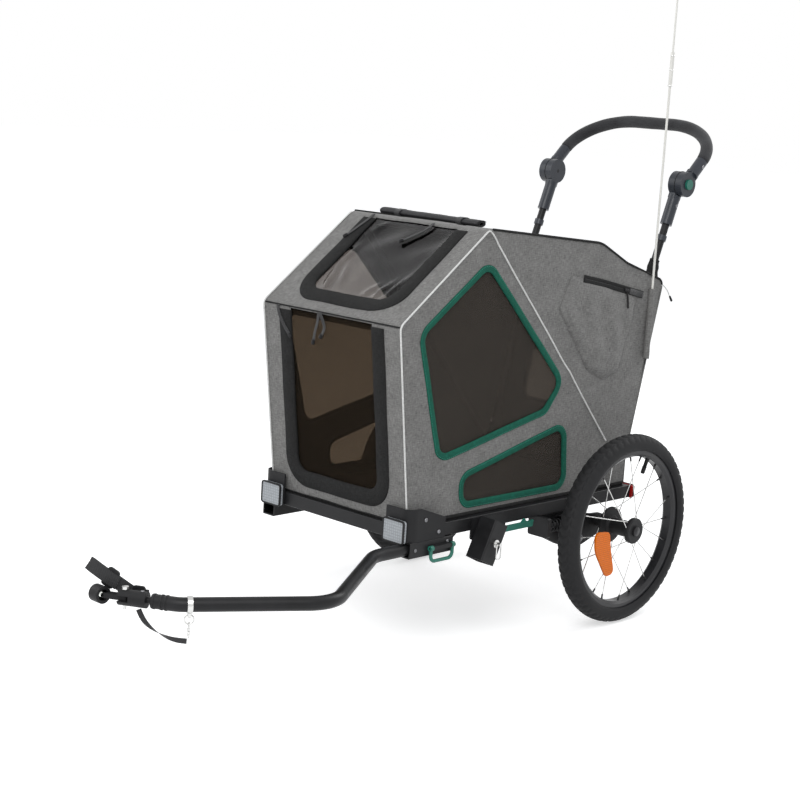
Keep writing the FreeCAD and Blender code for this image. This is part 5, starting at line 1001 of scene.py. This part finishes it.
def film_lift(flat):
    """Clear film pulled at its corners: steep narrow ridges that run in from the corners, and soft waves
    above. A ridge is height exp(-(aside / wide)^2 - (along / long)^2)."""
    x, s = flat[:, 0], flat[:, 1] - front_top
    waves = 1.6 * np.exp(-((s - 225) / 40) ** 2) * np.sin((x - s) / 21)
    for x0, s0, lean, wide, long, high in RIDGES:
        aside, along = (x - x0) - lean * (s - s0), s - s0
        waves = waves + high * np.exp(-(aside / wide) ** 2 - (along / long) ** 2)
    edge = np.clip(to_edge(flat, ROOF_WINDOW) / 16, 0, 1)
    return -2.4 + waves * edge - 2.5 * np.sin(np.pi * np.clip(s / 290, 0, 1)) * edge


film = finish("clear_film", IOR=1.27, Transmission_Weight=1.0)
tree = film.node_tree
slow = noise(tree, (node(tree, "ShaderNodeTexCoord"), "UV"), 22.0, 3.0)
smear = node(tree, "ShaderNodeMapRange", Value=(slow, "Fac"), From_Min=0.35, From_Max=0.7, To_Min=0.01,
             To_Max=0.05)
tint = shades(tree, (slow, "Fac"), (0.3, (0.56, 0.55, 0.56)), (0.7, (0.46, 0.45, 0.47)))
to_shader(film, Roughness=(smear, "Result"), Base_Color=(tint, "Color"))
roof_film = pane("roof_film", ROOF_WINDOW, on_cover, film_lift, film, 6.0)
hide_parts("roof_window")


# Edgings: green woven tape is folded over the raw edges of the side windows, and black tape over the front,
# roof and back ones. The green tapes and the back one are sewn down with a row of stitches.
def edging(name, outline, place, profile, material, turn=1, below=None):
    """A tape round an outline: each profile point is (out, lift), carried along the outline's normals. Where
    below is given, the tape stops at that height on both sides and has no upper run."""
    line = anticlockwise(outline)
    rows = np.stack([grown(line, out) for out, _ in profile], 1)
    if below is not None:
        kept = line[:, 1] < below
        first = int(np.argmax(kept & ~np.roll(kept, 1)))
        rows, line = (np.roll(a, -first, 0)[:kept.sum()] for a in (rows, line))
    grid = np.stack([place(rows[:, i], lift) for i, (_, lift) in enumerate(profile)], 1)
    size = grid.shape[:2]
    faces = [face[::turn] for face in (cells(*size, True, True) if below is None else capped(*size))]
    uv = band_uv(line, profile)
    return folds_down(piece(name, grid.reshape(-1, 3), faces, material, "chassis", uv))


def tape(inner, outer, high):
    """A tape's section, anticlockwise: flat below, soft rounded edges, a slight dip along its stitching."""
    middle = (inner + outer) / 2
    out = [inner, outer, outer + 0.5, outer, outer - 1.5, middle, inner + 1.5, inner, inner - 0.5]
    up = [-2.6, 0.2, 0.6, 1.0, high, high * 0.86, high, 0.9, -1.0]
    return np.stack([out, up], 1)


def stitches(name, outline, out, lift, place, thread, turn=1):
    """Short raised threads along an outline: each a small four-sided rod, 3.4 mm long in steps of 5.2 mm."""
    line = grown(anticlockwise(outline), out)
    loop = np.vstack([line, line[:1]])
    gone = gone_along(loop)
    starts = np.arange(0, gone[-1] - 4, 5.2)
    reach = starts[:, None] + np.array([0, 0.7, 2.7, 3.4])
    flat = np.stack([np.interp(reach, gone, loop[:, i]) for i in (0, 1)], -1)
    way = flat[:, -1] - flat[:, 0]
    aside = np.stack([way[:, 1], -way[:, 0]], -1) / np.linalg.norm(way, axis=1, keepdims=True)
    wide = np.array([0.15, 0.5, 0.5, 0.15])
    rod = []
    for o, u in ((1, 0), (0, 1), (-1, 0), (0, -1)):
        rod.append(place(flat + aside[:, None] * (o * wide)[:, None], lift + u * wide * 0.8))
    points = np.stack(rod, 2).reshape(-1, 3)
    faces = [face[::turn] for i in range(len(starts)) for face in capped(4, 4, i * 16)]
    return folds_down(piece(name, points, faces, thread, "chassis"))


green_tape = woven("green_tape", (0.003, 0.055, 0.036), (0.008, 0.13, 0.085), 0.0014, 0.0016,
                   Specular_IOR_Level=0.25)
black_tape = woven("black_tape", (0.007, 0.007, 0.007), (0.022, 0.022, 0.022), 0.0014, 0.0016,
                   Specular_IOR_Level=0.2)
green_thread = hard_finish("green_thread", (0.03, 0.22, 0.16), 0.5, 0.7, 0.0006, 0.0001)
dark_thread = hard_finish("dark_thread", (0.03, 0.03, 0.03), 0.5, 0.7, 0.0006, 0.0001)
green_section = tape(-1.5, 11.5, 1.9)
for side, sign in SIDES.items():
    place = partial(on_side, sign)
    for name, outline in (("side", SIDE_WINDOW), ("lower", LOWER_WINDOW)):
        edging(f"{side}_{name}_window_tape", outline, place, green_section, green_tape, sign)
        stitches(f"{side}_{name}_window_stitches", outline, 9.4, 1.9, place, green_thread, sign)
for name, outline, wide, top in (("front", FRONT_WINDOW, 31.0, front_top - 5),
                                 ("roof", ROOF_WINDOW, 31.0, roof_top - 10),
                                 ("back", BACK_WINDOW, 16.0, None)):
    section = tape(-2.0, wide, 2.2)
    edging(f"{name}_window_tape", outline, on_cover, section, black_tape, below=top)
stitches("back_window_stitches", BACK_WINDOW, 13.0, 2.1, on_cover, dark_thread)


# Piping and hems: bright reflective piping runs up both front edges to the peak and down the side seam. The
# rear roof edges and the lower edge of the cover are bound in black.
def trim(name, path, radius, up, material, slot):
    """A round cord sewn into a seam, along a line of places."""
    around = np.linspace(0, 2 * np.pi * radius, 10)
    uv = band_uv(path, np.stack([around, 0 * around], 1))
    return folds_down(carried(name, path, ring(radius, 10), up, material, "chassis", uv))


def level_line(half, s):
    """A line straight across the strip."""
    return np.stack([np.linspace(-half, half, 60), np.full(60, s)], 1)


SEAM = [(-371, 817), (-360, 808), (-321, 764), (-268, 706), (-187, 622), (-124, 551), (-88, 517), (-61, 483),
        (-20, 438), (49, 362)]
seam_line = smooth_line(SEAM, 3.0)
piping = woven("bright_piping", (0.5, 0.5, 0.49), (0.82, 0.82, 0.8), 0.0009, 0.001, rough=0.4)
for side, sign in SIDES.items():
    up = (sign, 0, 0.001)
    front_edge = on_strip(sign * COVER_HALF, np.arange(34, roof_top - 4, 3.0), 0.9)
    path = smooth_line(np.concatenate([front_edge, on_side(sign, seam_line, 0.9)]), 3.0, 2)
    trim(f"{side}_piping", path, 1.8, up, piping, "grey_fabric")
    rear_edge = on_strip(sign * STRIP_HALF, np.arange(roof_top + 8, tail + 4, 3.0), 0.6)
    trim(f"{side}_roof_hem", rear_edge, 2.4, up, black_tape, "black_fabric")
    back_edge = on_strip(sign * STRIP_HALF, np.arange(tail + 6, ends - 2, 3.0), 0.4)
    trim(f"{side}_back_seam", back_edge, 1.6, up, grey_cloth, "grey_fabric")
hem_line = rounded([(190.4, -549.4), (190.4, 121.6), (-190.4, 121.6), (-190.4, -549.4)], 5)
hem_path = np.insert(hem_line, 2, 261.5, axis=1)
hem_band = np.array([(-0.6, -4.5), (1.0, -4.2), (1.3, 0), (1.0, 4.2), (-0.6, 4.5)])
folds_down(carried("cover_hem", hem_path, hem_band, (0, 0, 1), black_tape, "chassis",
                   band_uv(hem_path, hem_band), closed=True))
trim("eave_seam", on_cover(level_line(186, front_top - 1.0), 1.2), 1.5, (0, 0, 1), black_tape, "black_fabric")
trim("rear_roof_hem", on_cover(level_line(188, tail), 0.8), 2.4, (0, 0, 1), black_tape, "black_fabric")


# Side pocket: a flat pouch of the cover's cloth on the left, cut wider than its place so that it gapes and
# sags, with a slanting zip under a black flap.
# The pouch's weave is shifted, so that it doesn't run on from the wall's.
WEAVE_SHIFT = (31.0, 17.0)
POCKET = rounded([(-110, 725), (-143, 653), (-38, 522), (15, 497), (65, 510), (123, 671)], 14)


def pocket_lift(flat):
    """The pouch stands out from its seam in a soft bag, fuller low down, with upright folds below the zip."""
    y, z = flat[..., 0], flat[..., 1]
    rim = to_edge(flat.reshape(-1, 2), POCKET).reshape(y.shape)
    full = 1 - np.exp(-(rim / 8) ** 1.5)
    low = np.clip((700 - z) / 110, 0, 1)
    folds = 2.6 * np.sin((y + 0.3 * z) / 10.5) * np.clip((z - 530) / 50, 0, 1)
    folds = folds + 1.8 * np.sin((y - 0.55 * z) / 17 + 1)
    sag = 2.6 * np.exp(-((z - 545 - 0.12 * y) / 10) ** 2) * np.sin(y / 13)
    return 0.5 + full * (2.0 + 7.5 * low + folds * (0.3 + 0.7 * low) + sag)


flat, faces = cut_cloth(anticlockwise(POCKET), [], 5.0)
pocket = piece("side_pocket_pouch", on_side(1, flat, pocket_lift(flat)), faces.tolist(), grey_cloth,
               "chassis", (flat + WEAVE_SHIFT) / 1000)
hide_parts("side_pocket")
cloth_area(pocket)
folds_down(with_lining(pocket, 1.0, None))
seam_path = on_side(1, np.vstack([POCKET, POCKET[:1]]), 0.5)
trim("pocket_seam", seam_path, 0.7, (1, 0, 0.001), grey_cloth, "grey_fabric")


def laid(name, line, band, material, lift=0.0):
    """A flat band along a line of (y, z) on the left wall, over the pouch where that stands out."""
    line, band = smooth_line(line, 3.0), np.array(band)
    path = on_side(1, line, np.maximum(pocket_lift(line), 0.5) + lift)
    uv = band_uv(path, band)
    return folds_down(carried(name, path, band, (1, 0, 0), material, "chassis", uv))


zip_line = [(-73, 714), (9, 699), (70, 685), (129, 672)]
flap = [(-7.5, 0.2), (7.5, 0.2), (7.8, 0.8), (7.2, 1.5), (1.4, 1.6), (0.9, 0.8), (-0.9, 0.8), (-1.4, 1.6),
        (-7.2, 1.5), (-7.8, 0.8)]
laid("pocket_zip", zip_line, flap, black_tape, 0.4)
laid("pocket_zip_teeth", zip_line[:3], [(-0.9, 0), (0.9, 0), (0.8, 1.0), (-0.8, 1.0)], moulded_black,
     1.0)
laid("pocket_zip_slider", [(66, 686), (73, 684.3), (80, 682.6)],
     [(-3.2, 0), (3.2, 0), (2.6, 2.6), (-2.6, 2.6)], moulded_black, 1.6)
laid("pocket_zip_pull", [(74, 682), (75, 664), (76, 646)], [(-2.2, 0), (2.2, 0), (2.2, 1.4), (-2.2, 1.4)],
     black_tape, 2.2)
laid("pocket_zip_end", [(84, 682), (107, 677), (129, 672)], [(-6.5, 0), (6.5, 0), (6.2, 0.9), (-6.2, 0.9)],
     black_web, 1.5)


# Post cuffs and drawcord: where the posts leave the cover, black cuffs are sewn round them and drawn in. A
# thin white cord with a black tip hangs from the rear left corner.
share = np.linspace(0, 1, 15)
height = 684 + 58 * share
post_y = np.interp(height, (335, 735, 905), (108, 190, 255))
gather = ring(1.0, 24)[None] * (16.0 - 5.2 * share + 0.6 * np.sin(share * 19))[:, None, None]
around = np.stack([np.linspace(0, 70, 24), np.zeros(24)], 1)
for side, sign in SIDES.items():
    path = np.stack([np.full(15, sign * 172.0), post_y, height], 1)
    folds_down(carried(f"{side}_post_cuff", path, gather, (1, 0, 0), black_tape, "chassis",
                       band_uv(path, around)))
white_cord = woven("white_cord", (0.45, 0.45, 0.44), (0.75, 0.75, 0.73), 0.0008, 0.001, coords="Object")
line = route_curve("drawcord_route", [(186, 207, 690), (188, 215, 685), (191, 223, 676), (194, 230, 662)])
cord = carried("cover_drawcord", line, ring(1.0, 10), (1, 0, 0), white_cord, "chassis")
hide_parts("drawcord")
down = line[-1] - line[-3]
tip_top = line[-1] - down / np.linalg.norm(down) * 3
tip_shape = [(0, 1.2), (0.6, 2.2), (11, 2.6), (13, 2.2), (13.4, 0.3)]
tip = turned_piece("drawcord_tip", [tip_top], tip_shape, down, moulded_black, "chassis", 12)
folds_down(cord)
folds_down(tip)


# Rolled cover: a black rain sheet rolled up behind the peak, in a loose flattened spiral, under two webbing
# straps.
ROLL_HALF = 134
ROLL_Y = -334
roll_x = np.linspace(-ROLL_HALF, ROLL_HALF, 90)[:, None]
spin = np.linspace(0.4, 0.4 + 2 * np.pi * 3.4, 150)[None]
loose = 0.35 * np.sin(roll_x / 19 + spin * 0.7) + 0.25 * np.sin(roll_x / 7.3 - spin)
radius = 9.2 - 1.75 * spin / (2 * np.pi) + loose * 0.6
rest = 825.5 - (roll_x + ROLL_HALF) / (2 * ROLL_HALF) * 1.2
roll_y, roll_z = ROLL_Y + 1.5 * radius * np.cos(spin), rest + 0.72 * radius * np.sin(spin)
roll_grid = np.stack(np.broadcast_arrays(roll_x, roll_y, roll_z), -1)
roll_uv = np.stack(np.broadcast_arrays(roll_x, spin * 6.5), -1).reshape(-1, 2) / 1000
rain_cloth = woven("rain_sheet", (0.008, 0.008, 0.009), (0.026, 0.026, 0.028), 0.0011, 0.0014, rough=0.55,
                   Specular_IOR_Level=0.3)
roll = piece("rain_sheet_roll", roll_grid.reshape(-1, 3), cells(*roll_grid.shape[:2]), rain_cloth, "chassis",
             roll_uv)
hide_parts("rolled_cover")
cloth_area(roll) / 0.268 * 1.0005
cloth_area(roll)
folds_down(with_lining(roll, 0.7, None))
strap_band = np.array([(-0.5, -7), (0.5, -7), (0.5, 7), (-0.5, 7)])
for i, x in enumerate((-84.0, 84.0)):
    loop = np.insert(ring(1.0, 48) * (15.2, 7.6) + (ROLL_Y, 825.0), 0, x, axis=1)
    folds_down(carried(f"roll_strap_{i + 1}", loop, strap_band, (1, 0, 0), black_web, "chassis",
                       band_uv(loop, strap_band), smooth=False, closed=True))


# Window straps: short black straps that tie up a rolled window, each sewn down flat along its length and
# ending in a hook. Three are below the eave at the front, and two on the roof. Their places are pairs of x
# and the way below the upper edge.
strap_band = np.array([(-3.2, -0.7), (3.2, -0.7), (3.2, 0.7), (-3.2, 0.7)])
hook = [(-1, 2.2), (0, 3.6), (7, 4.0), (9, 3.0), (9.4, 0.3)]
for name, edge, places in (("roof_strap_1", roof_top, [(48, 6), (44, 30), (22, 58), (14, 66)]),
                           ("roof_strap_2", roof_top, [(-120, 4), (-122, 26), (-132, 60), (-138, 74)]),
                           ("front_strap_1", front_top, [(-146, 2), (-142, 20), (-128, 44), (-116, 56)]),
                           ("front_strap_2", front_top, [(-28, 2), (-30, 18), (-40, 38), (-46, 58)]),
                           ("front_strap_3", front_top, [(-24, 2), (-16, 16), (-12, 30), (-22, 44)])):
    line = np.array([(x, edge - below) for x, below in places])
    path = on_cover(smooth_line(line, 2.5), 3.6)
    out = on_cover(line[0], 10.0) - on_cover(line[0], 0.0)
    folds_down(carried(name, path, strap_band, out, black_web, "chassis",
                       band_uv(path, strap_band), smooth=False))
    folds_down(turned_piece(f"{name}_hook", [path[-1]], hook, path[-1] - path[-4], moulded_black, "chassis",
                            12))


# Flag: a white glass-fibre pole in two lengths, joined by a ferrule, stands in a sewn sleeve at the rear left
# corner. It carries a small orange pennant, hemmed along the pole.
POLE_X, POLE_Y = 197.0, 158.0
coat(hard_finish("pole_white", (0.72, 0.71, 0.67), 0.32, 0.46, 0.0012, 0.00004, 0.05), "flag_pole")
low, high = layout_box("flag_sleeve")
height = np.linspace(low[2], high[2], 40)
path = np.stack([np.full(40, (low[0] + high[0]) / 2 - 0.6), np.full(40, (low[1] + high[1]) / 2), height], 1)
girth = ring(1.0, 24) * (6.9, 6.4)
slack = (1 + 0.05 * np.sin(height / 17) * np.sin(height / 7))[:, None, None] * girth[None]
sleeve_grid = swept(path, slack, (1, 0, 0))
sleeve = piece("flag_sleeve_cloth", sleeve_grid.reshape(-1, 3), cells(*sleeve_grid.shape[:2], True),
               grey_cloth, "rear_posts", band_uv(path, girth))
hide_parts("flag_sleeve")
with_lining(sleeve, 1.2, None)
ferrule_ring = [(0, 4.3), (0.4, 4.8), (2.6, 4.8), (3, 4.3)]
ring_spots = [(POLE_X, POLE_Y, z) for z in (1110.0, 1142.0, 1172.0)]
turned_piece("pole_ferrule_rings", ring_spots, ferrule_ring, (0, 0, 1), bright_steel, "flag", 20)
low, high = layout_box("pennant")
u = np.linspace(0, 0.985, 70)[:, None]
v = np.linspace(-1, 1, 40)[None]
wave = 7.0 * u * np.sin(u * 9.0 + 0.6 * v) + 1.5 * np.sin(v * 3 + u * 14) * u
fly, drop = low[1] + (high[1] - low[1]) * u, (low[2] + high[2]) / 2 + (high[2] - low[2]) / 2 * v * (1 - u)
pennant_grid = np.stack(np.broadcast_arrays(POLE_X + wave, fly, drop), -1)
pennant_uv = np.stack(np.broadcast_arrays(u * 0.26, v * 0.075 * (1 - u)), -1).reshape(-1, 2)
orange_cloth = woven("orange_cloth", (0.72, 0.12, 0.004), (0.9, 0.2, 0.01), 0.0008, 0.001, rough=0.65,
                     Sheen_Weight=0.2)
pennant = piece("orange_pennant", pennant_grid.reshape(-1, 3), cells(*pennant_grid.shape[:2]), orange_cloth,
                "flag", pennant_uv)
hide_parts("pennant")
with_lining(pennant, 0.4, None)
path = np.stack([np.full(30, POLE_X), np.full(30, POLE_Y + 0.4), np.linspace(low[2] + 1, high[2] - 1, 30)], 1)
hem = ring(5.0, 20)
hem_grid = swept(path, hem, (1, 0, 0))
piece("pennant_hem", hem_grid.reshape(-1, 3), cells(*hem_grid.shape[:2], True), orange_cloth, "flag",
      band_uv(path, hem))
